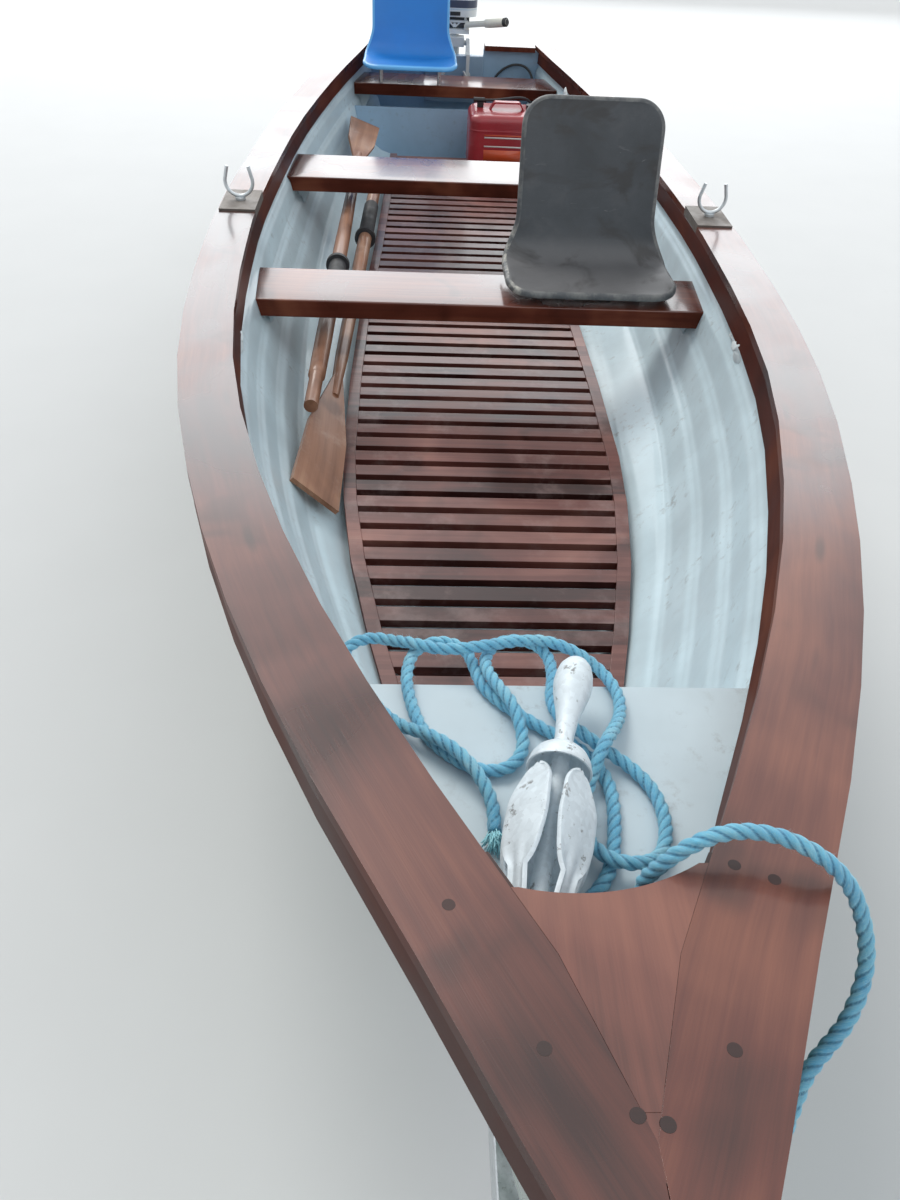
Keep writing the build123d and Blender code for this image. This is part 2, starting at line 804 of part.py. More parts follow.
hub_front = gearcase_end - 3
with BuildPart() as propeller:
    with Locations((hub_front - 27, 0, propeller_z)):
        Cylinder(23, 54, rotation=(0, 90, 0))
    for turn in (0, 120, 240):
        blade = Plane(origin=(hub_front - 27, 0, propeller_z), x_dir=(1, 0, 0),
                      z_dir=(0, cos(radians(turn)), sin(radians(turn))))
        with BuildPart(blade, mode=Mode.PRIVATE) as one:
            with Locations((0, 0, 56)):
                Cylinder(38, 5, rotation=(90, 0, 0))
        add(one.part)
    with Locations((hub_front - 27, 0, propeller_z)):
        Cylinder(prop_shaft + running_gap, 200, rotation=(0, 90, 0), mode=Mode.SUBTRACT)
finish(propeller, "propeller")

cowl_front = stern - 42
cowl_low = datum + 503
cowl_height = 262
cowl_half = 96
cowl_skin = 4
with BuildPart() as motor_cowl:
    with BuildSketch(Plane.XY.offset(cowl_low)):
        with Locations(((cowl_front + rear_end) / 2, 0)):
            RectangleRounded(cowl_front - rear_end, 2 * cowl_half, 50)
    extrude(amount=cowl_height)
    chamfer(motor_cowl.faces().sort_by(Axis.Z)[-1].edges(), 34, 14)
    chamfer(motor_cowl.faces().sort_by(Axis.Z)[-1].edges(), 8, 24)
    offset(amount=-cowl_skin, openings=motor_cowl.faces().sort_by(Axis.Z)[0])
finish(motor_cowl, "motor_cowl")
with BuildPart() as engine_block:
    block((rear_end + 60, -64, datum + 458 + seat_gap), (cowl_front - 26, 64, datum + 690))
    inside = cowl_half - cowl_skin - seat_gap
    block((leg_x - 14, -inside, cowl_low + 2), (leg_x + 14, inside, cowl_low + 14))
finish(engine_block, "engine_block")

tiller_root = (stern - 40, 52, datum + 476)
tiller_tip = (stern + 129, 213, datum + 520)
with BuildPart() as tiller:
    reach = Vector(*tiller_tip) - Vector(*tiller_root)
    with BuildSketch(Plane(origin=tiller_root, z_dir=reach)):
        Circle(12)
    extrude(amount=reach.length)
    with BuildSketch(Plane(origin=Vector(*tiller_tip) - reach.normalized() * 120, z_dir=reach)):
        Circle(17)
    extrude(amount=104)
    with Locations((tiller_root[0], tiller_root[1], datum + 467 + seat_gap / 2)):
        Cylinder(12, 18 - seat_gap)
finish(tiller, "tiller")

# Trailer: spine, beams, posts and winch post in one welded frame
spine_half = 40
spine_top = datum - 125
spine_low = datum - 200
spine_wall = 3
spine_front = front_end - 200
spine_back = bow - 3960
axle_aft = 3150
beam_x = bow - axle_aft
beam_half = 545
bunk_y = 300
bunk_low = datum - 40
bunk_ends = (1750, 3350)
post_places = (1900, axle_aft)
post_front = bow + 60
post_back = bow + 120
winch_z = datum + 330
with BuildPart() as trailer_frame:
    block((spine_back, -spine_half, spine_low), (spine_front, spine_half, spine_top))
    block((beam_x - 30, -beam_half, spine_low - 60), (beam_x + 30, beam_half, spine_low))
    block((bow - post_places[0] - 30, -bunk_y - 30, spine_low + 5),
          (bow - post_places[0] + 30, bunk_y + 30, spine_low + 55))
    for aft in post_places:
        for side in (-1, 1):
            block((bow - aft - 20, side * bunk_y - 20, spine_low),
                  (bow - aft + 20, side * bunk_y + 20, bunk_low - seat_gap))
    block((post_front, -30, spine_top), (post_back, 30, winch_z + 40))
    block((bow + 10, -20, datum + 380), (post_front, 20, datum + 410))
    block((post_front, -30, winch_z + 40), (post_back, 30, datum + 410))
    block((spine_back - 1, spine_wall - spine_half, spine_low + spine_wall),
          (spine_front + 1, spine_half - spine_wall, spine_top - spine_wall), mode=Mode.SUBTRACT)
    block((beam_x - 27, -beam_half - 1, spine_low - 57), (beam_x + 27, beam_half + 1, spine_low - 3),
          mode=Mode.SUBTRACT)
finish(trailer_frame, "trailer_frame")

with BuildPart() as bow_snubber:
    stem_front = keel_line[0][0] + keel_depth
    block((stem_front + seat_gap, -45, datum + 370), (bow + 10 - seat_gap, 45, datum + 420))
finish(bow_snubber, "bow_snubber")

with BuildPart() as hand_winch:
    for side in (-1, 1):
        block((post_back + seat_gap, side * 46 - 3, winch_z - 45), (post_back + 90, side * 46 + 3, winch_z + 45))
    block((post_back + seat_gap, -49, winch_z - 45), (post_back + 6, 49, winch_z + 45))
    with Locations((post_back + 48, 0, winch_z)):
        Cylinder(30, 92, rotation=(90, 0, 0))
    with Locations((post_back + 48, 65, winch_z)):
        Cylinder(8, 60, rotation=(90, 0, 0))
    block((post_back + 38, 86, winch_z - 150), (post_back + 58, 94, winch_z + 10))
    with Locations((post_back + 48, 130, winch_z - 140)):
        Cylinder(13, 90, rotation=(90, 0, 0))
finish(hand_winch, "hand_winch")

# Bunks cut to the hull's bottom, and keel rollers in their brackets
hull_clear = lofted([(station_x(share), hull_section(share, -seat_gap)) for share in hull_shares])
with BuildPart() as hull_bunks:
    for side in (-1, 1):
        block((bow - bunk_ends[1], side * bunk_y - 30, bunk_low),
              (bow - bunk_ends[0], side * bunk_y + 30, datum + 150))
    add(hull_clear, mode=Mode.SUBTRACT)
    block((bow - 4000, -500, datum + 90), (bow, 500, datum + 400), mode=Mode.SUBTRACT)
finish(hull_bunks, "hull_bunks")

roller_radius = 30
roller_half = 34
roller_pin = 7
roller_places = (1200, 2300, 3300)


def roller_axis(aft):
    return datum + between(aft / boat_length, 3) - keel_depth - roller_radius - 2 * seat_gap - 1


with BuildPart() as keel_rollers:
    for aft in roller_places:
        with Locations((bow - aft, 0, roller_axis(aft))):
            Cylinder(roller_radius, 2 * roller_half, rotation=(90, 0, 0))
            Cylinder(roller_pin + running_gap, 3 * roller_half, rotation=(90, 0, 0), mode=Mode.SUBTRACT)
finish(keel_rollers, "keel_rollers")
with BuildPart() as roller_brackets:
    for aft in roller_places:
        for side in (-1, 1):
            inner, outer = sorted((side * (roller_half + 1), side * (roller_half + 5)))
            block((bow - aft - 22, inner, spine_top + seat_gap), (bow - aft + 22, outer, roller_axis(aft) + 14))
        with Locations((bow - aft, 0, roller_axis(aft))):
            Cylinder(roller_pin, 2 * roller_half + 16, rotation=(90, 0, 0))
finish(roller_brackets, "roller_brackets")

# Running gear: trailing arms with stub axles, tyres on rims, and mudguards
wheel_radius = 210
tyre_width = 118
rim_radius = 102
wheel_y = 664
wheel_x = beam_x - 120
stub_radius = 12.5
hub_half = 38
arm_inner = beam_half + seat_gap
with BuildPart() as suspension_arms:
    for side in (-1, 1):
        with BuildSketch(Plane.XZ.offset(-side * (arm_inner + 9))):
            with BuildLine():
                Polyline((beam_x + 28, spine_low - 58), (beam_x + 28, spine_low - 2), (beam_x - 28, spine_low - 2),
                         (wheel_x + 12, wheel_radius + 20),
                         (wheel_x - 22, wheel_radius + 12), (wheel_x - 22, wheel_radius - 14),
                         (beam_x - 30, spine_low - 58), close=True)
            make_face()
        extrude(amount=9, both=True)
        with Locations((wheel_x, side * (arm_inner + 65), wheel_radius)):
            Cylinder(stub_radius, 130, rotation=(90, 0, 0))
finish(suspension_arms, "suspension_arms")

for name, side in (("starboard", -1), ("port", 1)):
    axle_line = Axis((wheel_x, side * wheel_y, wheel_radius), (0, 1, 0))
    wheel_plane = Plane(origin=(wheel_x, side * wheel_y, wheel_radius), x_dir=(0, side, 0), z_dir=(-side, 0, 0))
    with BuildPart() as rim:
        with BuildSketch(wheel_plane):
            with BuildLine():
                bore = stub_radius + running_gap
                Polyline((-hub_half, bore), (-hub_half, 34), (8, 34), (8, rim_radius - 8), (-48, rim_radius - 8),
                         (-48, rim_radius + 8), (-44, rim_radius + 8), (-44, rim_radius - 3), (44, rim_radius - 3),
                         (44, rim_radius + 8), (48, rim_radius + 8), (48, rim_radius - 8), (13, rim_radius - 8),
                         (13, 34), (hub_half, 30), (hub_half, bore), close=True)
            make_face()
        revolve(axis=axle_line)
    finish(rim, f"rim_{name}")
    with BuildPart() as tyre:
        with BuildSketch(wheel_plane):
            with BuildLine():
                Polyline((-43, rim_radius - 2), (-43, rim_radius + 14), (-59, 150), (-59, 178), (-44, 203), (0, 210),
                         (44, 203), (59, 178), (59, 150), (43, rim_radius + 14), (43, rim_radius - 2), close=True)
            make_face()
        revolve(axis=axle_line)
    finish(tyre, f"tyre_{name}")

guard_gap = 42
guard_skin = 2
guard_half = 76
with BuildPart() as mudguards:
    for side in (-1, 1):
        with BuildSketch(Plane.XZ.offset(-side * wheel_y)):
            with Locations((wheel_x, wheel_radius)):
                Circle(wheel_radius + guard_gap)
                Circle(wheel_radius + guard_gap - guard_skin, mode=Mode.SUBTRACT)
            with Locations((wheel_x, wheel_radius - 215)):
                Rectangle(900, 500, mode=Mode.SUBTRACT)
        extrude(amount=guard_half, both=True)
        guard_edge = wheel_y - guard_half
        plate = sorted((side * (guard_edge - 6), side * (guard_edge + 3)))
        foot = sorted((side * (beam_half - 60), side * (guard_edge + 3)))
        block((beam_x - 26, plate[0], spine_low + seat_gap), (beam_x + 26, plate[1], wheel_radius + 216))
        block((beam_x - 26, foot[0], spine_low + seat_gap), (beam_x + 26, foot[1], spine_low + 6))
finish(mudguards, "mudguards")

# Front stand and ball coupling
stand_x = bow + 330
stand_y = 70
stand_pivot = datum - 162
stand_lean = 34
with BuildPart() as prop_stand:
    foot = Vector(stand_x + stand_lean, stand_y, 6)
    reach = Vector(stand_x, stand_y, stand_pivot) - foot
    with BuildSketch(Plane(origin=foot, z_dir=reach)):
        Circle(17)
    extrude(amount=reach.length + 20)
    block((foot.X - 45, stand_y - 24, 0), (foot.X + 45, stand_y + 50, 6))
    block((foot.X - 22, stand_y - 20, 0), (foot.X + 22, stand_y + 20, 16))
    with Locations((stand_x, stand_y, stand_pivot)):
        Cylinder(8 + running_gap, 100, rotation=(90, 0, 0), mode=Mode.SUBTRACT)
finish(prop_stand, "prop_stand")
with BuildPart() as stand_bracket:
    with Locations((stand_x, (spine_half + seat_gap + 96) / 2, stand_pivot)):
        Cylinder(8, 96 - spine_half - seat_gap, rotation=(90, 0, 0))
    block((stand_x - 30, spine_half + seat_gap, stand_pivot - 30), (stand_x + 30, spine_half + 6, stand_pivot + 30))
finish(stand_bracket, "stand_bracket")

ball_radius = 25.2
ball_x = front_end - 42
with BuildPart() as ball_coupling:
    block((spine_front + seat_gap, -spine_half, spine_low), (spine_front + 60, spine_half, spine_top))
    block((spine_front + 20, -32, spine_low + 10), (ball_x, 32, spine_top - 5))
    with Locations((ball_x, 0, spine_low + 40)):
        Cylinder(42, 60)
    with Locations((ball_x, 0, spine_low + 36)):
        Sphere(ball_radius, mode=Mode.SUBTRACT)
    with Locations((ball_x, 0, spine_low)):
        Cylinder(ball_radius - 1, 72, mode=Mode.SUBTRACT)
    block((ball_x - 130, -12, spine_top - 5), (ball_x - 20, 12, spine_top + 22))
finish(ball_coupling, "ball_coupling")

# Bow eye: a bent rod on the stem
eye_rod = 5
eye_reach = 30
eye_low = datum + 282
eye_high = datum + 328
eye_x = stem_front + eye_reach
with BuildPart() as bow_eye:
    with BuildLine(Plane.XZ):
        FilletPolyline((stem_front + seat_gap, eye_low), (eye_x, eye_low), (eye_x, eye_high),
                       (stem_front + seat_gap, eye_high), radius=12)
    with BuildSketch(Plane.YZ.offset(stem_front + seat_gap)):
        with Locations((0, eye_low)):
            Circle(eye_rod)
    sweep()
finish(bow_eye, "bow_eye")


def corner_radii(points):
    """Arc at each corner of a cord's route, as large as its shorter run allows."""
    radii = []
    for before, corner, after in zip(points, points[1:], points[2:]):
        turn = radians((corner - before).get_angle(after - corner))
        shorter = min((corner - before).length, (after - corner).length)
        radii.append(0.45 * shorter / tan(turn / 2))
    return radii


def cord(places, diameter, label):
    """Tube along a route, whose places are (aft, y, height)."""
    points = [Vector(bow - aft, y, datum + height) for aft, y, height in places]
    radii = corner_radii(points)
    with BuildPart() as tube:
        with BuildLine():
            route = FilletPolyline(*points, radius=radii)
        with BuildSketch(Plane(origin=points[0], z_dir=points[1] - points[0])):
            Circle(diameter / 2)
        sweep(path=route)
    filled = tube.part.volume / (pi * diameter**2 / 4 * route.length)
    print(label, "length", round(route.length), "volume against length", round(filled, 3))
    print("  radii", [round(radius) for radius in radii])
    finish(tube, label)


# Painter: from the pile of rope over the foredeck's edge and the port side deck to the bow eye
rope_diameter = 14
rope_high = 28
pile_top = locker_top + seat_gap + rope_high - datum
painter_route = [
    (366, 42, pile_top), (366, 42, 530), (363, 50, 554), (361, 60, 577), (364, 77, 592), (370, 102, 599),
    (370, 131, 600), (361, 157, 600), (348, 178, 597), (338, 196, 585), (329, 211, 565), (316, 222, 540),
    (300, 227, 515), (281, 221, 492), (263, 208, 475), (249, 190, 460), (233, 171, 450), (205, 152, 442),
    (170, 130, 428), (132, 106, 405), (100, 86, 380), (72, 68, 353), (46, 50, 327), (23, 34.6, 305),
]
eye_aft = bow - eye_x
eye_side = Vector(painter_route[-1][0] - eye_aft, painter_route[-1][1], 0).normalized() * eye_rod
painter_end = (eye_aft + eye_side.X, eye_side.Y, painter_route[-1][2])
cord(painter_route + [painter_end], rope_diameter, "painter")

# Mooring rope: the pile of loops on the bow locker, as one solid cut to the anchor that lies in it
pile_outline = [
    (322, 38), (322, -2), (360, 0), (402, 20), (440, 5), (515, 24), (552, -22), (524, -50), (512, -88),
    (494, -56), (470, -62), (470, -94), (512, -112), (548, -166), (590, -192), (655, -224), (692, -243),
    (716, -240), (730, -214), (706, -150), (696, -118), (724, -50), (716, 4), (692, 52), (640, 80),
    (590, 80), (540, 72), (500, 98), (462, 98), (426, 76), (416, 48), (372, 54),
]
with BuildPart() as mooring_rope:
    with BuildSketch(Plane.XY.offset(locker_top + seat_gap)):
        with BuildLine():
            Polyline(*[(bow - aft, y) for aft, y in pile_outline], close=True)
        make_face()
    extrude(amount=rope_high)
    for start, end, radius in ((0, 112, 20), (108, 144, 33)):
        with BuildSketch(anchor_plane.offset(start)):
            Circle(radius)
        extrude(amount=end - start, mode=Mode.SUBTRACT)
    for start, end, width in ((140, 200, 94), (196, anchor_length, 75)):
        with BuildSketch(anchor_plane.offset(start)):
            Rectangle(width, width, rotation=45)
        extrude(amount=end - start, mode=Mode.SUBTRACT)
finish(mooring_rope, "mooring_rope")

# Fuel hose: from the tank's fitting aft over the bulkhead and round to the boat's bottom
hose_diameter = 10
hose_low = fitting_z - datum
hose_route = [
    (bow - fitting_x, fitting_end, hose_low), (bow - fitting_x, fitting_end + 36, hose_low), (3990, 184, 328),
    (4002, 224, 331), (4024, 258, 328), (4054, 285, 316), (4088, 304, 296), (4124, 312, 272), (4168, 313, 256),
    (4214, 315, 244), (4262, 322, 233), (4312, 332, 228), (4362, 341, 236), (4410, 347, 257),
    (4450, 347, 288), (4480, 340, 318), (4499, 320, 341), (4508, 288, 350), (4511, 250, 346),
    (4512, 214, 328), (4510, 185, 299), (4506, 164, 263), (4500, 150, 222), (4490, 140, 180),
    (4476, 134, 141), (4456, 130, 108), (4430, 126, 78), (4398, 122, 54), (4360, 118, 51),
]
cord(hose_route, hose_diameter, "fuel_hose")

connector_length = 58
connector_radius = 11
with BuildPart() as hose_connector:
    last = Vector(bow - hose_route[-1][0], hose_route[-1][1], datum + hose_route[-1][2])
    before = Vector(bow - hose_route[-2][0], hose_route[-2][1], datum + hose_route[-2][2])
    with BuildSketch(Plane(origin=last, z_dir=last - before)):
        Circle(connector_radius)
    extrude(amount=connector_length)
finish(hose_connector, "hose_connector")
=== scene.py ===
"""Looks of a clinker rowing boat on its road trailer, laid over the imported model.

Lengths are metres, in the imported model's frame. Places on the boat are also written as
(aft of the stem head, to port, above the keel's datum) in millimetres, and spot() turns
them into the frame's metres."""

import random
from math import cos, pi, radians, sin, sqrt

import bmesh
import bpy
import numpy as np
from mathutils import Matrix, Vector

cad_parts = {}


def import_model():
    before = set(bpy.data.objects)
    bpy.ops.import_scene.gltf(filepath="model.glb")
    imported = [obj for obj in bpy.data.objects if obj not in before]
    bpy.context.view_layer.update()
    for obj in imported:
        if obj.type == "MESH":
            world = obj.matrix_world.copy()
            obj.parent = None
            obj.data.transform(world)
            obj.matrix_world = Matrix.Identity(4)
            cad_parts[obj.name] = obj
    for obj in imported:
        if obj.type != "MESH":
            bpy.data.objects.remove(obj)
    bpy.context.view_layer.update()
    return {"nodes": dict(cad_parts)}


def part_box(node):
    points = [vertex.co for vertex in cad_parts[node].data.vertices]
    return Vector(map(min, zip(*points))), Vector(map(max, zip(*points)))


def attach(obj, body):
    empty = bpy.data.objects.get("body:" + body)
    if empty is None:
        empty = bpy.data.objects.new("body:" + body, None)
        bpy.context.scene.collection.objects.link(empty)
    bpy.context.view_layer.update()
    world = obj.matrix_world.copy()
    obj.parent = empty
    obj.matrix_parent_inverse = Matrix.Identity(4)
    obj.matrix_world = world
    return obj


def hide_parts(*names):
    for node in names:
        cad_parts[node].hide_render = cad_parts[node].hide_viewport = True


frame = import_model()

MM = 0.001
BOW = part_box("side_deck_port")[1].x
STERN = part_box("side_deck_port")[0].x
LENGTH = BOW - STERN
# The thwarts' tops lie this far above the datum
THWART_TOP = 0.320
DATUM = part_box("thwart_mid")[1].z - THWART_TOP
PORT, STARBOARD = 1, -1
random.seed(7)


def spot(aft, y, height):
    """The frame's point for a place on the boat in millimetres."""
    return Vector((BOW - aft * MM, y * MM, DATUM + height * MM))


def ease(value):
    """Smooth step from 0 to 1."""
    value = min(max(value, 0.0), 1.0)
    return value * value * (3 - 2 * value)


# Camera, at the place and angle the photograph was taken from

CAMERA_PLACE = Vector((2.2021, -0.1681, 1.6466))
CAMERA_YAW = radians(3.53)
CAMERA_PITCH = radians(41.26)
CAMERA_ROLL = radians(3.23)
CAMERA_LENS = 27.71
CAMERA_SENSOR = 36
CAMERA_NEAREST = 0.02


def make_camera():
    data = bpy.data.cameras.new("camera")
    data.lens = CAMERA_LENS
    data.sensor_width = CAMERA_SENSOR
    data.clip_start = CAMERA_NEAREST
    camera = bpy.data.objects.new("camera", data)
    bpy.context.scene.collection.objects.link(camera)
    forward = Vector((-cos(CAMERA_YAW) * cos(CAMERA_PITCH), sin(CAMERA_YAW) * cos(CAMERA_PITCH),
                      -sin(CAMERA_PITCH)))
    right = forward.cross(Vector((0, 0, 1))).normalized()
    up = right.cross(forward)
    side = right * cos(CAMERA_ROLL) + up * sin(CAMERA_ROLL)
    head = up * cos(CAMERA_ROLL) - right * sin(CAMERA_ROLL)
    turn = Matrix((side, head, -forward)).transposed().to_4x4()
    camera.matrix_world = Matrix.Translation(CAMERA_PLACE) @ turn
    bpy.context.scene.camera = camera


# Materials


def shaded(colour, share, lift=0.0):
    """A colour made darker or lighter by a share, and lifted by an even grey."""
    return tuple(min(1.0, value * share + lift) for value in colour)


class Finish:
    """A procedural material, built up node by node."""

    def __init__(self, name, **settings):
        self.material = bpy.data.materials.new(name)
        self.material.use_nodes = True
        self.tree = self.material.node_tree
        self.shader = self.tree.nodes["Principled BSDF"]
        for key, value in settings.items():
            self.shader.inputs[key.replace("_", " ").title()].default_value = value
        self.place = self.node("ShaderNodeTexCoord").outputs["Object"]
        self.normal = None

    def node(self, kind, inputs=None, **settings):
        node = self.tree.nodes.new(kind)
        for key, value in settings.items():
            setattr(node, key, value)
        for key, value in (inputs or {}).items():
            self.feed(node.inputs[key], value)
        return node

    def feed(self, socket, value):
        """Links a node's output into a socket, or sets the socket to a plain value."""
        if isinstance(value, bpy.types.NodeSocket):
            self.tree.links.new(value, socket)
        else:
            socket.default_value = value

    def maths(self, operation, first, second=0.0, third=0.0):
        node = self.node("ShaderNodeMath", {0: first, 1: second, 2: third}, operation=operation)
        return node.outputs[0]

    def axes(self, place=None):
        return self.node("ShaderNodeSeparateXYZ", {0: place or self.place}).outputs

    def joined(self, x, y, z=0.0):
        return self.node("ShaderNodeCombineXYZ", {0: x, 1: y, 2: z}).outputs[0]

    def stretched(self, x, y, z, place=None):
        return self.node("ShaderNodeMapping", {"Vector": place or self.place, "Scale": (x, y, z)}).outputs[0]

    def noise(self, scale, place=None, detail=3.0, roughness=0.5, distortion=0.0):
        return self.node("ShaderNodeTexNoise", {
            "Vector": place or self.place, "Scale": scale, "Detail": detail, "Roughness": roughness,
            "Distortion": distortion}).outputs[0]

    def cells(self, scale, place=None, output="Distance"):
        inputs = {"Vector": place or self.place, "Scale": scale}
        return self.node("ShaderNodeTexVoronoi", inputs).outputs[output]

    def span(self, value, low, high, to_low=0.0, to_high=1.0):
        """Value mapped from low..high to to_low..to_high, held at its ends."""
        return self.node("ShaderNodeMapRange", {0: value, 1: low, 2: high, 3: to_low, 4: to_high},
                         interpolation_type="SMOOTHSTEP").outputs[0]

    def ramp(self, value, *stops):
        """Colour for a value, between stops of (value, colour)."""
        node = self.node("ShaderNodeValToRGB", {0: value})
        band = node.color_ramp
        while len(band.elements) < len(stops):
            band.elements.new(0.5)
        for element, (place, colour) in zip(band.elements, stops):
            element.position = place
            element.color = (*colour, 1)
        return node.outputs[0]

    def mix(self, factor, first, second):
        node = self.node("ShaderNodeMix", data_type="RGBA")
        for socket, value in ((0, factor), (6, first), (7, second)):
            if isinstance(value, tuple):
                value = (*value, 1)
            self.feed(node.inputs[socket], value)
        return node.outputs[2]

    def colour(self, value):
        self.feed(self.shader.inputs["Base Color"], value)

    def rough(self, value):
        self.feed(self.shader.inputs["Roughness"], value)

    def bump(self, height, distance, strength=1.0):
        """Relief in the surface, on top of any relief it has already."""
        inputs = {"Height": height, "Distance": distance, "Strength": strength}
        if self.normal:
            inputs["Normal"] = self.normal
        self.normal = self.node("ShaderNodeBump", inputs).outputs[0]
        self.feed(self.shader.inputs["Normal"], self.normal)


# Timber's figure: how often its marks come in a metre, along the grain and across it
STREAKS = (1.3, 58.0)
PORES = (16.0, 700.0)
KNOTS = (2.3, 11.0)
KNOT_EDGE = (0.03, 0.11)
GRAIN_DEPTH = 30.0
GRAIN_WARP = 0.035
VARNISH_ROUGHNESS = 0.14
# Upright faces are painted a little darker, as painted shade, and hardly shine: from where, to where, and by
# how much
UPRIGHT_PAINTED_SHADE = (0.35, 0.80, 0.20)
UPRIGHT_DULLNESS = (0.35, 0.85, 0.04)
SHINE = 0.5


def timber(name, run, width, deep, middle, light, roughness=0.35, coat=0.5, dust=0.0, knots=0.5, board=None):
    """Stained timber, with its grain along one coordinate of the boat and glossiest on its upper faces.

    run and width give the coordinates along and across the grain, and board each board's own tone."""
    finish = Finish(name, roughness=roughness, coat_roughness=VARNISH_ROUGHNESS)
    x, y, z = finish.axes()
    along = run(finish, x, y)
    warp = finish.maths("MULTIPLY", finish.noise(2.2, detail=1.0), GRAIN_WARP)
    across = finish.maths("ADD", width(finish, x, y), warp)
    depth = finish.maths("MULTIPLY", z, GRAIN_DEPTH)

    def grain(rates, height):
        return finish.joined(finish.maths("MULTIPLY", along, rates[0]),
                             finish.maths("MULTIPLY", across, rates[1]), height)

    streaks = finish.noise(1.0, grain(STREAKS, depth), 4.0, 0.62)
    pores = finish.noise(1.0, grain(PORES, depth), 2.0, 0.5)
    blotch = finish.noise(2.7, detail=3.0, roughness=0.55, distortion=0.8)
    stain = finish.noise(7.5, detail=2.0, roughness=0.5, distortion=0.4)
    tone = finish.maths("MULTIPLY_ADD", blotch, 0.95, finish.maths("MULTIPLY_ADD", streaks, 0.42, -0.19))
    if board:
        tone = finish.maths("ADD", tone, board(finish, x, y))
    tone = finish.maths("MULTIPLY_ADD", pores, 0.07, finish.maths("SUBTRACT", tone, 0.035))
    colour = finish.ramp(tone, (0.26, deep), (0.50, middle), (0.78, light))
    dark = shaded(deep, 0.55)
    colour = finish.mix(finish.span(stain, 0.56, 0.74, 0.0, 0.55), colour, dark)
    knot = finish.span(finish.cells(1.0, grain(KNOTS, 0.0)), *KNOT_EDGE, knots, 0.0)
    colour = finish.mix(knot, colour, shaded(deep, 0.35))
    if dust:
        worn = finish.span(finish.noise(9.0, detail=5.0, roughness=0.65), 0.50, 0.72, 0.0, dust)
        colour = finish.mix(worn, colour, shaded(light, 0.6, 0.16))
    facing = finish.node("ShaderNodeNewGeometry").outputs["Normal"]
    upward = finish.maths("ABSOLUTE", finish.axes(facing)[2])
    # Painted shade: upright faces are mixed toward the dark tone by how little they face up
    start, stop, shade = UPRIGHT_PAINTED_SHADE
    finish.colour(finish.mix(finish.span(upward, start, stop, shade, 0.0), colour, dark))
    start, stop, least = UPRIGHT_DULLNESS
    finish.feed(finish.shader.inputs["Coat Weight"], finish.span(upward, start, stop, 0.0, coat))
    finish.feed(finish.shader.inputs["Specular IOR Level"], finish.span(upward, start, stop, least, SHINE))
    finish.rough(finish.span(blotch, 0.3, 0.7, roughness - 0.07, roughness + 0.12))
    finish.bump(pores, 0.0002, 0.4)
    finish.bump(streaks, 0.0004, 0.35)
    return finish


def run_x(finish, x, y):
    return x


def run_y(finish, x, y):
    return y


GRIME = (0.16, 0.13, 0.10)
TARNISH = (0.13, 0.12, 0.11)


def painted(name, colour, roughness=0.3, mottle=0.06, grime=0.0, coat=0.3, waves=0.0005):
    """Painted or moulded surface with slight mottling, waviness and grime."""
    finish = Finish(name, roughness=roughness, coat_weight=coat, coat_roughness=0.12)
    cloud = finish.noise(6.0, detail=4.0, roughness=0.6)
    shade = finish.ramp(cloud, (0.30, shaded(colour, 1 - 1.6 * mottle)), (0.70, shaded(colour, 1 + mottle)))
    if grime:
        specks = finish.noise(38.0, detail=6.0, roughness=0.7)
        patches = finish.span(cloud, 0.42, 0.68, 0.0, grime)
        dirt = finish.maths("MULTIPLY", finish.span(specks, 0.52, 0.72), patches)
        shade = finish.mix(dirt, shade, GRIME)
    finish.colour(shade)
    finish.rough(finish.span(cloud, 0.3, 0.7, max(roughness - 0.05, 0.03), roughness + 0.10))
    finish.bump(finish.noise(17.0, detail=2.0), waves, 0.6)
    return finish


def zinc(name, colour=(0.60, 0.63, 0.65), roughness=0.42, metallic=0.75, stains=0.35):
    """Hot-dip galvanised steel: spangle, dull patches and small dark marks."""
    finish = Finish(name, roughness=roughness, metallic=metallic)
    spangle = finish.cells(170.0, output="Color")
    shade = finish.ramp(finish.axes(spangle)[0], (0.0, shaded(colour, 0.93)), (1.0, shaded(colour, 1.06)))
    cloud = finish.noise(14.0, detail=5.0, roughness=0.65)
    marks = finish.span(finish.noise(70.0, detail=4.0, roughness=0.7), 0.60, 0.70, 0.0, stains)
    shade = finish.mix(marks, shade, TARNISH)
    finish.colour(finish.mix(finish.span(cloud, 0.5, 0.75, 0.0, 0.4), shade, shaded(colour, 0.7)))
    finish.rough(finish.span(cloud, 0.3, 0.7, roughness - 0.1, roughness + 0.18))
    finish.bump(finish.noise(260.0, detail=3.0), 0.0002, 0.5)
    return finish


def rubber(name, colour=(0.025, 0.025, 0.027), roughness=0.6, dust=0.35):
    """Black rubber, greyed by dust in patches."""
    finish = Finish(name, roughness=roughness)
    cloud = finish.noise(22.0, detail=5.0, roughness=0.65)
    finish.colour(finish.mix(finish.span(cloud, 0.45, 0.75, 0.0, dust), colour, shaded(colour, 2.6, 0.03)))
    finish.rough(finish.span(cloud, 0.3, 0.7, roughness - 0.1, roughness + 0.15))
    finish.bump(finish.noise(420.0, detail=2.0), 0.0001, 0.5)
    return finish


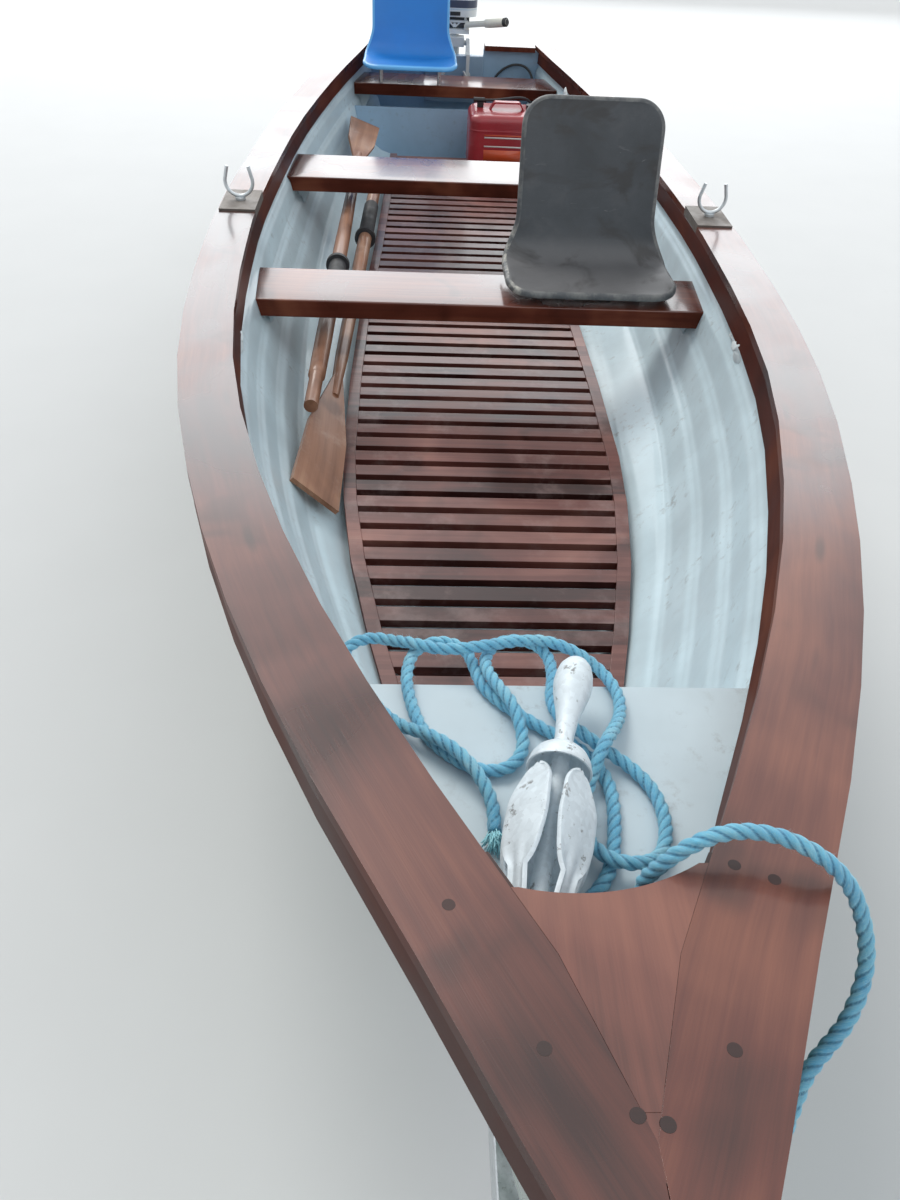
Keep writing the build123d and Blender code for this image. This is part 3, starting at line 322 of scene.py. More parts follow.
# Guide stations of the hull, as the solids have them: share of the length, deck half-breadth as a
# share of the half beam, side deck width, keel height, fullness, and the tuck of the topsides
HALF_BEAM = 669
GUIDES = [
    (0.000, 0.027, 110, 470, 0.00, 0.10),
    (0.012, 0.067, 110, 190, 0.00, 0.14),
    (0.030, 0.132, 110, 70, 0.02, 0.26),
    (0.060, 0.236, 110, 8, 0.06, 0.54),
    (0.100, 0.380, 112, -18, 0.16, 1.00),
    (0.160, 0.564, 108, -30, 0.36, 1.00),
    (0.230, 0.727, 102, -35, 0.60, 1.00),
    (0.320, 0.874, 98, -38, 0.84, 1.00),
    (0.420, 0.960, 99, -38, 0.97, 1.00),
    (0.540, 1.000, 97, -36, 1.00, 1.00),
    (0.680, 0.975, 95, -30, 1.06, 1.00),
    (0.840, 0.865, 95, -12, 1.16, 1.00),
    (1.000, 0.643, 76, 15, 1.18, 1.00),
]
HALF, DECK, KEEL, FULL, TUCK = 1, 2, 3, 4, 5
STRAKE_EDGES = [
    (1.000, 1.000, 1.000),
    (0.820, 0.956, 0.880),
    (0.645, 0.913, 0.750),
    (0.475, 0.852, 0.610),
    (0.315, 0.770, 0.465),
    (0.180, 0.615, 0.315),
    (0.075, 0.375, 0.170),
    (0.000, 0.034, 0.050),
]
SKIN = 7
LAND = 7
DECK_THICKNESS = 18
LINER = 23
# Least distance of an inner face from the middle of the boat
CENTRE_GAP = 0.3
# Heights that draw the sheer: at the stem, the pull of its middle, and at the transom
SHEER = (610, 329, 418)


def slope(number, column):
    """How fast a column changes at a guide station, flat where it turns back."""
    sides = []
    for low, high in ((number - 1, number), (number, number + 1)):
        if low >= 0 and high < len(GUIDES):
            first, last = GUIDES[low], GUIDES[high]
            sides.append((last[column] - first[column]) / (last[0] - first[0]))
    if len(sides) == 1:
        return sides[0]
    return 2 * sides[0] * sides[1] / (sides[0] + sides[1]) if sides[0] * sides[1] > 0 else 0


def guide(share, column):
    """A column's value at a share of the length, on a smooth curve through the guide stations."""
    number = max(index for index, row in enumerate(GUIDES[:-1]) if row[0] <= max(share, 0))
    first, last = GUIDES[number], GUIDES[number + 1]
    run = last[0] - first[0]
    part = (share - first[0]) / run
    square, cube = part**2, part**3
    return ((2 * cube - 3 * square + 1) * first[column] + (3 * square - 2 * cube) * last[column]
            + (cube - 2 * square + part) * run * slope(number, column)
            + (cube - square) * run * slope(number + 1, column))


def sheer(share):
    """Height of the deck's top above the datum, in millimetres."""
    rest = 1 - share
    stem, pull, transom = SHEER
    return stem * rest**2 + 2 * pull * share * rest + transom * share**2


def deck_top(aft):
    return sheer(aft * MM / LENGTH)


def deck_half(share):
    return guide(share, HALF) * HALF_BEAM


def deck_inner(share):
    """Half the opening between the side decks, in millimetres."""
    return max(deck_half(share) - guide(share, DECK), CENTRE_GAP)


# Where the finishes of the decks and the grating take their coordinates and tones from

CURVE_SHARES = (0.03, 0.06, 0.10, 0.16, 0.23, 0.32, 0.42, 0.54, 0.68, 0.84)
PLANKS_PER_METRE = 0.72
PLANK_START = 0.35
SLAT_START = 1.0
SLAT_PITCH = 0.060


def edge_distance(finish, x, y):
    """How far inside the deck's outer edge a point lies, from a curve of the half-breadth."""
    share = finish.maths("DIVIDE", finish.maths("SUBTRACT", BOW, x), LENGTH)
    node = finish.node("ShaderNodeFloatCurve", {"Value": share})
    curve = node.mapping.curves[0]
    curve.points[0].location = (0.0, guide(0.0, HALF))
    curve.points[1].location = (1.0, guide(1.0, HALF))
    for place in CURVE_SHARES:
        curve.points.new(place, guide(place, HALF))
    node.mapping.update()
    half = finish.maths("MULTIPLY", node.outputs[0], HALF_BEAM * MM)
    return finish.maths("SUBTRACT", half, finish.maths("ABSOLUTE", y))


def board_tone(finish, number, side, spread, least):
    """One random tone for each board's number and side."""
    pick = finish.node("ShaderNodeTexWhiteNoise", {"Vector": finish.joined(number, side)}).outputs[0]
    return finish.maths("MULTIPLY_ADD", pick, spread, least)


def plank_tone(finish, x, y):
    """Each deck plank has its own tone, changing at its butt joints."""
    number = finish.maths("FLOOR", finish.maths("MULTIPLY_ADD", x, PLANKS_PER_METRE, PLANK_START))
    return board_tone(finish, number, finish.maths("SIGN", y), 0.16, -0.08)


def slat_tone(finish, x, y):
    """Each slat of the grating has its own tone."""
    aft = finish.maths("SUBTRACT", BOW - SLAT_START, x)
    number = finish.maths("FLOOR", finish.maths("DIVIDE", aft, SLAT_PITCH))
    return board_tone(finish, number, 0.0, 0.34, -0.15)


# Timber: its deep, middle and light tones, roughness, coat, dust, knots and boards
DEEP = (0.038, 0.012, 0.009)
RED_BROWN = (0.120, 0.033, 0.022)
WARM = (0.240, 0.082, 0.047)
deck_finish = timber("deck_wood", run_x, edge_distance, DEEP, RED_BROWN, WARM,
                     0.30, 0.65, 0.0, 0.55, plank_tone)
# The foredeck's tones are lighter than the side decks', partly as painted sheen of the sky
fore_finish = timber("fore_wood", run_x, run_y, (0.052, 0.018, 0.014), (0.170, 0.056, 0.039),
                     (0.280, 0.104, 0.066), 0.30, 0.7)
thwart_finish = timber("thwart_wood", run_y, run_x, (0.036, 0.010, 0.007), (0.120, 0.030, 0.018),
                       (0.30, 0.100, 0.054), 0.26, 0.85)
rail_finish = timber("rail_wood", run_x, edge_distance, (0.035, 0.010, 0.007), (0.080, 0.020, 0.013),
                     (0.16, 0.050, 0.028), 0.4, 0.4)
# The slats' middle and light tones are raised partly as painted sheen
slat_finish = timber("slat_wood", run_y, run_x, (0.040, 0.013, 0.011), (0.138, 0.043, 0.034),
                     (0.32, 0.135, 0.104), 0.40, 0.4, 0.32, 0.7, slat_tone)
oar_finish = timber("oar_wood", run_x, run_y, (0.16, 0.068, 0.039), (0.34, 0.168, 0.102), (0.56, 0.34, 0.22),
                    0.46, 0.3, 0.45, 0.2)
plug_finish = timber("plug_wood", run_y, run_x, (0.014, 0.005, 0.004), (0.030, 0.009, 0.007),
                     (0.05, 0.016, 0.012), 0.5, 0.15)

# Paint and plastic: colour, roughness, mottle, grime, coat and height of the waves
pad_finish = painted("pad_paint", (0.27, 0.38, 0.50), 0.5, 0.10, 0.6, 0.1)
inside_finish = painted("hull_inside", (0.65, 0.80, 0.865), 0.34, 0.07, 0.5, 0.35, 0.0012)
grey_finish = painted("locker_grey", (0.56, 0.66, 0.71), 0.36, 0.05, 0.45, 0.3, 0.0006)
bulkhead_finish = painted("bulkhead_grey", (0.33, 0.485, 0.64), 0.36, 0.06, 0.35, 0.3)
green_finish = painted("hull_green", (0.012, 0.115, 0.062), 0.22, 0.08, 0.25, 0.6)
white_finish = painted("motor_white", (0.74, 0.77, 0.77), 0.24, 0.03, 0.12, 0.6)
dark_finish = painted("motor_dark", (0.045, 0.050, 0.058), 0.42, 0.15, 0.2, 0.1)
alloy_finish = painted("motor_alloy", (0.62, 0.64, 0.64), 0.36, 0.06, 0.35, 0.2)
cream_finish = painted("tiller_cream", (0.80, 0.78, 0.68), 0.34, 0.05, 0.2, 0.4)
tank_finish = painted("tank_red", (0.36, 0.020, 0.030), 0.34, 0.16, 0.3, 0.45, 0.0008)
rim_finish = painted("rim_white", (0.66, 0.67, 0.67), 0.3, 0.04, 0.45, 0.4)
black_finish = painted("black_plastic", (0.022, 0.022, 0.024), 0.45, 0.2, 0.15, 0.0)
fluff_finish = painted("rope_fluff", (0.40, 0.78, 0.93), 0.75, 0.2, 0.0, 0.0)
filler_finish = painted("filler_white", (0.76, 0.82, 0.84), 0.55, 0.05, 0.3, 0.0, 0.003)
label_pale_finish = painted("label_pale", (0.78, 0.76, 0.72), 0.4, 0.03, 0.2)
label_orange_finish = painted("label_orange", (0.66, 0.085, 0.020), 0.4, 0.08, 0.25)
navy_finish = painted("cowl_navy", (0.050, 0.065, 0.110), 0.28, 0.06, 0.05)

# Metal and rubber: colour, roughness, then how metallic, how stained or how dusty
zinc_finish = zinc("galvanised")
# The anchor's zinc grey is made pale blue-white partly as a painted reflection of the sky
anchor_finish = zinc("anchor_zinc_painted_sky", (0.72, 0.80, 0.85), 0.5, 0.15, 0.8)
chrome_finish = zinc("seat_steel", (0.66, 0.66, 0.66), 0.25, 0.9, 0.15)
# The sockets' dark tone is partly their metal and partly painted shade of the recess they fill
socket_finish = zinc("socket_metal_and_shade", (0.16, 0.14, 0.125), 0.5, 0.5, 0.3)
rubber_finish = rubber("black_rubber")
tyre_finish = rubber("tyre_rubber", (0.022, 0.022, 0.023), 0.72, 0.5)

# What each node of the solids is made of, and how wide its edges are rounded, in millimetres
NODE_FINISHES = {
    deck_finish: ("side_deck_port", "side_deck_starboard", "transom_cap"),
    fore_finish: ("foredeck",),
    thwart_finish: ("thwart_forward", "thwart_mid", "thwart_aft"),
    rail_finish: ("rub_rails", "inwales"),
    slat_finish: ("floor_grating",),
    pad_finish: ("motor_pad",),
    oar_finish: ("oar_forward_blade", "oar_aft_blade"),
    grey_finish: ("bow_locker", "thwart_knees"),
    bulkhead_finish: ("aft_bulkhead", "transom"),
    socket_finish: ("rowlock_sockets",),
    green_finish: ("keel",),
    white_finish: ("motor_leg", "motor_cowl"),
    dark_finish: ("engine_block",),
    alloy_finish: ("motor_clamp", "motor_swivel", "propeller"),
    cream_finish: ("tiller",),
    tank_finish: ("fuel_tank",),
    rim_finish: ("rim_starboard", "rim_port"),
    black_finish: ("tank_fittings", "hose_connector"),
    zinc_finish: ("rowlock_starboard", "rowlock_port", "trailer_frame", "hand_winch", "roller_brackets",
                  "suspension_arms", "mudguards", "prop_stand", "stand_bracket", "ball_coupling", "bow_eye",
                  "anchor"),
    chrome_finish: ("seat_mounts",),
    rubber_finish: ("oar_sleeves", "bow_snubber", "hull_bunks", "keel_rollers", "seat_black", "seat_blue"),
    tyre_finish: ("tyre_starboard", "tyre_port"),
}
EDGE_WIDTHS = {"side_deck_port": 1.6, "side_deck_starboard": 1.6, "thwart_forward": 2, "thwart_mid": 2,
               "thwart_aft": 2, "floor_grating": 1.5, "trailer_frame": 3, "thwart_knees": 6, "bow_locker": 3,
               "motor_clamp": 2, "motor_leg": 3, "engine_block": 4, "hand_winch": 1, "bow_snubber": 6,
               "hull_bunks": 4, "rub_rails": 4, "inwales": 2, "transom": 2, "motor_pad": 3,
               "oar_forward_blade": 2, "oar_aft_blade": 2, "ball_coupling": 3, "mudguards": 0.8}
MERGE_DISTANCE = 0.00002
CREASE = radians(31)


def smoothing_group():
    """Geometry nodes that join a solid's split corners and keep only its real edges sharp."""
    group = bpy.data.node_groups.new("smooth_solid", "GeometryNodeTree")
    for way in ("INPUT", "OUTPUT"):
        group.interface.new_socket("Geometry", in_out=way, socket_type="NodeSocketGeometry")
    entry = group.nodes.new("NodeGroupInput")
    leave = group.nodes.new("NodeGroupOutput")
    plain = group.nodes.new("GeometryNodeRemoveAttribute")
    plain.inputs["Name"].default_value = "custom_normal"
    merge = group.nodes.new("GeometryNodeMergeByDistance")
    merge.inputs["Distance"].default_value = MERGE_DISTANCE
    faces = group.nodes.new("GeometryNodeSetShadeSmooth")
    faces.domain = "FACE"
    edges = group.nodes.new("GeometryNodeSetShadeSmooth")
    edges.domain = "EDGE"
    angle = group.nodes.new("GeometryNodeInputMeshEdgeAngle")
    gentle = group.nodes.new("FunctionNodeCompare")
    gentle.data_type = "FLOAT"
    gentle.operation = "LESS_THAN"
    gentle.inputs[1].default_value = CREASE
    link = group.links.new
    link(entry.outputs[0], plain.inputs["Geometry"])
    link(plain.outputs[0], merge.inputs["Geometry"])
    link(merge.outputs[0], faces.inputs["Geometry"])
    link(faces.outputs[0], edges.inputs["Geometry"])
    link(angle.outputs["Unsigned Angle"], gentle.inputs[0])
    link(gentle.outputs[0], edges.inputs["Shade Smooth"])
    link(edges.outputs[0], leave.inputs[0])
    return group


def soften(piece, width, segments=2, angle=40):
    """Rounds the edges that turn by more than an angle in degrees."""
    edges = piece.modifiers.new("edges", "BEVEL")
    edges.width = width
    edges.segments = segments
    edges.limit_method = "ANGLE"
    edges.angle_limit = radians(angle)


def dress_solids():
    group = smoothing_group()
    for finish, names in NODE_FINISHES.items():
        for name in names:
            node = frame["nodes"][name]
            node.data.materials.clear()
            node.data.materials.append(finish.material)
            smooth = node.modifiers.new("smooth", "NODES")
            smooth.node_group = group
            if name in EDGE_WIDTHS:
                soften(node, EDGE_WIDTHS[name] * MM, 3)


# Meshes


def about(side, head, part):
    """Direction at a part of a whole turn, starting from side toward head."""
    return side * cos(2 * pi * part) + head * sin(2 * pi * part)


class Form:
    """Points and faces that become one piece."""

    def __init__(self):
        self.points = []
        self.faces = []
        self.kinds = []

    def grid(self, rows, around=False, closed=False, kind=0):
        """Faces between rows of points. around joins each row's ends, closed the last row to the first."""
        first = len(self.points)
        width = len(rows[0])
        for row in rows:
            self.points.extend(row)
        for number in range(len(rows) if closed else len(rows) - 1):
            low = first + number * width
            high = first + (number + 1) % len(rows) * width
            for place in range(width if around else width - 1):
                after = (place + 1) % width
                self.face((low + place, low + after, high + after, high + place), kind)
        return first

    def face(self, corners, kind=0):
        self.faces.append(tuple(corners))
        self.kinds.append(kind)

    def prism(self, rows, kind=0):
        """A solid with closed rows as its sections, capped at both ends."""
        first = self.grid(rows, around=True, kind=kind)
        width = len(rows[0])
        last = first + (len(rows) - 1) * width
        self.face(reversed(range(first, first + width)), kind)
        self.face(range(last, last + width), kind)

    def tube(self, path, radius, sides=12):
        """Round rod along points, closed at both ends."""
        path = [Vector(point) for point in path]
        self.prism([[centre + about(side, head, number / sides) * radius for number in range(sides)]
                    for centre, (side, head) in zip(path, frames_along(path))])

    def lathe(self, profile, place, sides=32, kind=0, capped=False):
        """Revolves (radius, height) pairs about the place's own Z."""
        across, deep = Vector((1, 0, 0)), Vector((0, 1, 0))
        rows = [[place @ (about(across, deep, number / sides) * radius + Vector((0, 0, height)))
                 for number in range(sides)] for radius, height in profile]
        if capped:
            self.prism(rows, kind)
        else:
            self.grid(rows, around=True, kind=kind)

    def block(self, low, high, kind=0):
        """Box between two corners."""
        first = len(self.points)
        self.points.extend(Vector((x, y, z)) for x in (low[0], high[0]) for y in (low[1], high[1])
                           for z in (low[2], high[2]))
        for corners in ((0, 1, 3, 2), (4, 6, 7, 5), (0, 4, 5, 1), (2, 3, 7, 6), (0, 2, 6, 4), (1, 5, 7, 3)):
            self.face([first + corner for corner in corners], kind)

    def make(self, name, finishes, body="root", slot=None, crease=32, bevel=0.0):
        """Turns the form into a piece that rides a body, with its edges over crease degrees kept sharp."""
        mesh = bpy.data.meshes.new(name)
        mesh.from_pydata([tuple(point) for point in self.points], [], self.faces)
        for finish in finishes:
            mesh.materials.append(finish.material)
        mesh.polygons.foreach_set("material_index", self.kinds)
        mesh.polygons.foreach_set("use_smooth", [True] * len(self.faces))
        mesh.update()
        if crease:
            mesh.set_sharp_from_angle(angle=radians(crease))
        piece = bpy.data.objects.new(name, mesh)
        bpy.context.scene.collection.objects.link(piece)
        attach(piece, body)
        if bevel:
            soften(piece, bevel)
        return piece


def frames_along(path):
    """Two crosswise directions at each point of a path, turned as little as its bends allow."""
    ways = []
    for number in range(len(path)):
        before, after = path[max(number - 1, 0)], path[min(number + 1, len(path) - 1)]
        ways.append((after - before).normalized())
    side = ways[0].orthogonal().normalized()
    pairs = []
    for way in ways:
        side = (side - way * side.dot(way)).normalized()
        pairs.append((side, way.cross(side)))
    return pairs


def place_along(start, end):
    """Place whose own Z runs from start to end, with its origin at start."""
    turn = (end - start).to_track_quat("Z", "Y").to_matrix().to_4x4()
    return Matrix.Translation(start) @ turn


def rounded_outline(low, high, corner, steps, push=0.0):
    """Points round a box's plan with its corners rounded, moved out by push."""
    centres = ((high.x - corner, high.y - corner), (low.x + corner, high.y - corner),
               (low.x + corner, low.y + corner), (high.x - corner, low.y + corner))
    outline = []
    for quarter, (x, y) in enumerate(centres):
        for step in range(steps + 1):
            turn = (quarter + step / steps) * pi / 2
            outline.append(Vector((x + (corner + push) * cos(turn), y + (corner + push) * sin(turn), 0)))
    return outline


# Hull shell: crisp lands outside, soft ridges inside where the moulding follows them

HULL_STATIONS = 120
STATION_CROWDING = 1.15
HULL_START = 0.012
INSIDE_START = 0.030
INSIDE_PARTS = (0.0, 0.05, 0.10, 0.16, 0.24, 0.40, 0.60, 0.76, 0.84, 0.90, 0.95, 1.0)
INSET = SKIN + 0.8
UNDER_DECK = 0.5
RIDGE_SHARE = 0.17
RIDGE_HEIGHT = 1.25
# Half-breadth below which the lands run out toward the stem
FINE_BOW = 200


def hull_edges(share):
    """Half-breadth of a section, and its port strake edges from the sheer to the keel, in millimetres."""
    half = deck_half(share) - guide(share, TUCK) * (guide(share, DECK) - LINER) - UNDER_DECK
    low = guide(share, KEEL)
    top = sheer(share) - DECK_THICKNESS - UNDER_DECK
    full = guide(share, FULL)
    return half, [(half * (fine + full * (wide - fine)), low + height * (top - low))
                  for height, wide, fine in STRAKE_EDGES]


def outside_section(share):
    """The outside face, stepped out at each land."""
    half, edges = hull_edges(share)
    step = LAND * min(1, half / FINE_BOW)
    points = [edges[0]]
    for y, z in edges[1:-1]:
        points += [(y + step, z), (y, z)]
    return points + [edges[-1]]


def inside_section(share):
    """The inside face, with each land softened to a ridge."""
    half, edges = hull_edges(share)
    step = LAND * min(1, half / FINE_BOW) * RIDGE_HEIGHT
    line = []
    for number, ((high_y, high_z), (low_y, low_z)) in enumerate(zip(edges, edges[1:])):
        last = number == len(edges) - 2
        for part in INSIDE_PARTS if last else INSIDE_PARTS[:-1]:
            y = high_y + part * (low_y + (0 if last else step) - high_y)
            if number > 0:
                y += step / 2 * (1 - ease(part / RIDGE_SHARE))
            if not last:
                y -= step / 2 * (1 - ease((1 - part) / RIDGE_SHARE))
            line.append((y, high_z + part * (low_z - high_z)))
    moved = []
    for number, (y, z) in enumerate(line):
        before, after = line[max(number - 3, 0)], line[min(number + 3, len(line) - 1)]
        out, rise = after[1] - before[1], before[0] - after[0]
        run = sqrt(rise**2 + out**2)
        moved.append((max(y + INSET * out / run, CENTRE_GAP), z + INSET * rise / run))
    return moved


def both_sides(share, section):
    """A port section and its mirror as one row, from sheer to sheer."""
    aft = share * LENGTH / MM
    return [spot(aft, y, z) for y, z in section] + [spot(aft, -y, z) for y, z in reversed(section)]


def hull_shell():
    form = Form()
    outer, inner = [], []
    for number in range(HULL_STATIONS):
        share = HULL_START + (1 - HULL_START) * (number / (HULL_STATIONS - 1)) ** STATION_CROWDING
        outer.append(both_sides(share, outside_section(share)))
        if share >= INSIDE_START:
            inner.append(both_sides(share, inside_section(share)))
    first = form.grid(outer, kind=1)
    form.face(range(first, first + len(outer[0])), kind=1)
    form.grid([row[::-1] for row in inner])
    beside = outer[-len(inner):]
    form.grid([[row[0] for row in inner], [row[0] for row in beside]])
    form.grid([[row[-1] for row in beside], [row[-1] for row in inner]])
    piece = form.make("hull_shell", [inside_finish, green_finish], slot="hull_grp", crease=30)
    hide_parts("hull")


# Ropes and hose: routes as (aft, to port, above the datum), like the solids' routes

PAINTER = [
    (3, 4, 305), (23, 34.6, 305), (46, 50, 327), (72, 68, 353), (100, 86, 380), (132, 106, 405),
    (170, 130, 428), (205, 152, 442), (233, 171, 450), (249, 190, 460), (263, 208, 475), (281, 221, 492),
    (300, 227, 515), (316, 222, 540), (329, 211, 565), (338, 196, 585), (348, 178, 597), (361, 157, 600),
    (370, 131, 600), (370, 102, 599), (364, 77, 592), (361, 60, 577), (363, 50, 554), (366, 43, 530),
]
UNDER_FOREDECK = [
    (362, 46, 506), (344, 53, 490), (314, 54, 486), (284, 42, 486), (271, 14, 486), (283, -15, 486),
    (312, -27, 486), (343, -19, 486), (370, 0, 486), (390, 19, 486),
]
PILE = [
    (410, 30, 486), (438, 37, 486), (471, 42, 486), (503, 43, 486), (529, 34, 486), (553, 16, 486),
    (572, -10, 486), (594, -38, 486), (617, -64, 486), (644, -84, 486), (674, -90, 486), (703, -99, 486),
    (716, -130, 486), (698, -160, 486), (657, -169, 486), (616, -163, 486), (573, -150, 486),
    (542, -124, 486), (521, -93, 486), (521, -62, 487), (543, -43, 488), (573, -43, 493),
    (603, -52, 502), (630, -68, 502), (658, -78, 497), (687, -76, 489), (714, -60, 486), (719, -27, 486),
    (697, -2, 486), (659, 1, 486), (621, -7, 487), (589, -2, 494), (561, 17, 503), (542, 44, 494),
    (527, 69, 486), (499, 87, 486), (468, 92, 486), (440, 88, 488), (414, 77, 492), (401, 50, 501),
    (407, 24, 501), (429, 9, 495), (457, 7, 488), (480, 11, 487), (503, 21, 491), (530, 34, 514),
    (561, 52, 505), (595, 68, 489), (631, 73, 486), (667, 59, 486), (693, 31, 492), (703, -6, 501),
    (698, -44, 502), (686, -78, 506), (678, -108, 508), (682, -136, 504), (695, -162, 501),
    (710, -184, 489), (719, -208, 486), (708, -234, 486), (681, -243, 486), (655, -231, 486),
    (630, -214, 486), (598, -193, 487), (573, -170, 493), (556, -144, 503), (538, -120, 505),
    (517, -100, 502), (494, -85, 493), (470, -78, 487), (446, -80, 486),
]
HOSE_DIAMETER = 0.010
HOSE = [
    (3986, 108, 323.3), (3986, 144, 323.3), (3990, 184, 328), (4002, 224, 331), (4024, 258, 328),
    (4054, 285, 316), (4088, 304, 296), (4124, 312, 272), (4168, 313, 256), (4214, 315, 244),
    (4262, 322, 233), (4312, 332, 228), (4362, 341, 236), (4410, 347, 257), (4450, 347, 288),
    (4480, 340, 318), (4499, 320, 341), (4508, 288, 350), (4511, 250, 346), (4512, 214, 328),
    (4510, 185, 299), (4506, 164, 263), (4500, 150, 222), (4490, 140, 180), (4476, 134, 141),
    (4456, 130, 108), (4430, 126, 78), (4398, 122, 54), (4360, 118, 51),
]


def cord_curve(name, route, resolution):
    """A smooth curve of one open spline, with the route's points as its control points."""
    data = bpy.data.curves.new(name, "CURVE")
    data.dimensions = "3D"
    spline = data.splines.new("NURBS")
    spline.points.add(len(route) - 1)
    for point, place in zip(spline.points, route):
        point.co = (*spot(*place), 1)
    spline.order_u = 3
    spline.use_endpoint_u = True
    spline.resolution_u = resolution
    curve = bpy.data.objects.new(name, data)
    bpy.context.scene.collection.objects.link(curve)
    return curve


def curve_path(route, resolution):
    """Points along a route's smooth curve, read from the curve itself."""
    curve = cord_curve("guide", route, resolution)
    mesh = bpy.data.meshes.new_from_object(curve)
    path = [vertex.co.copy() for vertex in mesh.vertices]
    bpy.data.meshes.remove(mesh)
    data = curve.data
    bpy.data.objects.remove(curve)
    bpy.data.curves.remove(data)
    return path


def reach_along(path):
    """How far along a path each of its points lies."""
    reach = [0.0]
    for before, after in zip(path, path[1:]):
        reach.append(reach[-1] + (after - before).length)
    return reach


STRANDS = 3
STRAND_OFFSET = 0.0029
STRAND_RADIUS = 0.0044
ROPE_LAY = 0.040
ROPE_SIDES = 24
ROPE_RESOLUTION = 9
FIBRES = 26000
FIBRE_ROOT = 0.96
FIBRE_LENGTH = 0.0055
FIBRE_WIDTH = 0.00016
FRAYED_YARNS = 90
YARN_RADIUS = 0.0006
YARN_LENGTH = (0.012, 0.030)
YARN_SAG = 0.006
YARN_ROOT = 0.004
HOSE_RESOLUTION = 12


def rope_finish():
    """Faded blue fibre, with painted shade between the strands, its fibres running along each strand."""
    finish = Finish("rope_fibre", roughness=0.75, sheen_weight=0.3, sheen_roughness=0.5)
    depth = finish.node("ShaderNodeAttribute", attribute_name="crown").outputs["Fac"]
    weave = finish.node("ShaderNodeAttribute", attribute_name="weave").outputs["Vector"]
    cloud = finish.noise(24.0, detail=5.0, roughness=0.6)
    fibre = finish.noise(1.0, finish.stretched(34.0, 190.0, 1.0, weave), 4.0, 0.7)
    shade = finish.ramp(cloud, (0.30, (0.075, 0.46, 0.77)), (0.56, (0.18, 0.63, 0.87)),
                        (0.80, (0.42, 0.76, 0.88)))
    shade = finish.mix(finish.span(fibre, 0.46, 0.66, 0.0, 0.75), shade, (0.62, 0.88, 0.97))
    shade = finish.mix(finish.span(fibre, 0.30, 0.44, 0.55, 0.0), shade, (0.030, 0.30, 0.56))
    # Painted shade in the valleys between the strands, by how low on its strand each point lies
    shade = finish.mix(finish.span(depth, 0.10, 0.60, 0.85, 0.0), shade, (0.020, 0.19, 0.38))
    dirt = finish.span(finish.noise(9.0, detail=4.0), 0.58, 0.74, 0.0, 0.35)
    finish.colour(finish.mix(dirt, shade, (0.12, 0.24, 0.27)))
    finish.bump(fibre, 0.0012, 0.9)
    return finish


def from_crown(part):
    """Part of a turn from the nearest strand's crown."""
    return (part + 0.5 / STRANDS) % (1 / STRANDS) - 0.5 / STRANDS


def laid_radius(part):
    """Radius of the laid rope at a part of a turn from one strand's crown."""
    lean = 2 * pi * from_crown(part)
    return STRAND_OFFSET * cos(lean) + sqrt(STRAND_RADIUS**2 - (STRAND_OFFSET * sin(lean)) ** 2)


def rope_strands(path, frames, reach):
    """The rope as one lobed tube whose points say, for the finish, how high on which strand they lie."""
    form = Form()
    parts = [number / ROPE_SIDES for number in range(ROPE_SIDES)]
    form.prism([[centre + about(*crosswise, part) * laid_radius(part - far / ROPE_LAY) for part in parts]
                for centre, crosswise, far in zip(path, frames, reach)])
    piece = form.make("mooring_rope_strands", [rope_finish()], slot="rope_blue", crease=0)
    crown = piece.data.attributes.new("crown", "FLOAT", "POINT")
    weave = piece.data.attributes.new("weave", "FLOAT_VECTOR", "POINT")
    low, high = laid_radius(0.5 / STRANDS), laid_radius(0)
    for number, far in enumerate(reach):
        for side, part in enumerate(parts):
            part -= far / ROPE_LAY
            vertex = number * ROPE_SIDES + side
            lean = from_crown(part)
            crown.data[vertex].value = (laid_radius(part) - low) / (high - low)
            weave.data[vertex].vector = (far * 2.4, lean + 0.2 * round(STRANDS * (part - lean)), 0)
    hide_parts("painter", "mooring_rope")
    return piece


def rope_fibres(path, frames, reach):
    """Stray fibres all along the rope, and the yarns of its frayed end."""
    fuzz = Form()
    for _ in range(FIBRES):
        number = random.randrange(2, len(path) - 2)
        part = random.random()
        outward = about(*frames[number], part)
        way = (path[number + 1] - path[number]).normalized()
        across = way.cross(outward) * FIBRE_WIDTH
        root = path[number] + outward * laid_radius(part - reach[number] / ROPE_LAY) * FIBRE_ROOT
        stray = Vector((random.gauss(0, 1), random.gauss(0, 1), random.gauss(0, 1)))
        lean = (outward + stray) * 0.5 + way * random.choice((-1, 1))
        tip = root + lean.normalized() * FIBRE_LENGTH * random.random()
        corner = len(fuzz.points)
        fuzz.points += [root - across, root + across, tip]
        fuzz.face((corner, corner + 1, corner + 2))
    end, way = path[-1], (path[-1] - path[-2]).normalized()
    side, head = frames[-1]
    for _ in range(FRAYED_YARNS):
        spread = (side * random.gauss(0, 0.35) + head * random.gauss(0, 0.35) + way).normalized()
        root = end + (side * random.uniform(-1, 1) + head * random.uniform(-1, 1) - way) * YARN_ROOT
        tip = root + spread * random.uniform(*YARN_LENGTH)
        tip.z = max(tip.z, end.z - YARN_SAG)
        fuzz.tube([root, (root + tip) / 2 + head * random.uniform(-0.002, 0.002), tip], YARN_RADIUS, 4)
    return fuzz.make("mooring_rope_fibres", [fluff_finish], slot="rope_blue", crease=0)


def mooring_rope():
    path = curve_path(PAINTER + UNDER_FOREDECK + PILE, ROPE_RESOLUTION)
    frames = frames_along(path)
    reach = reach_along(path)
    piece = rope_strands(path, frames, reach)
    fibres = rope_fibres(path, frames, reach)


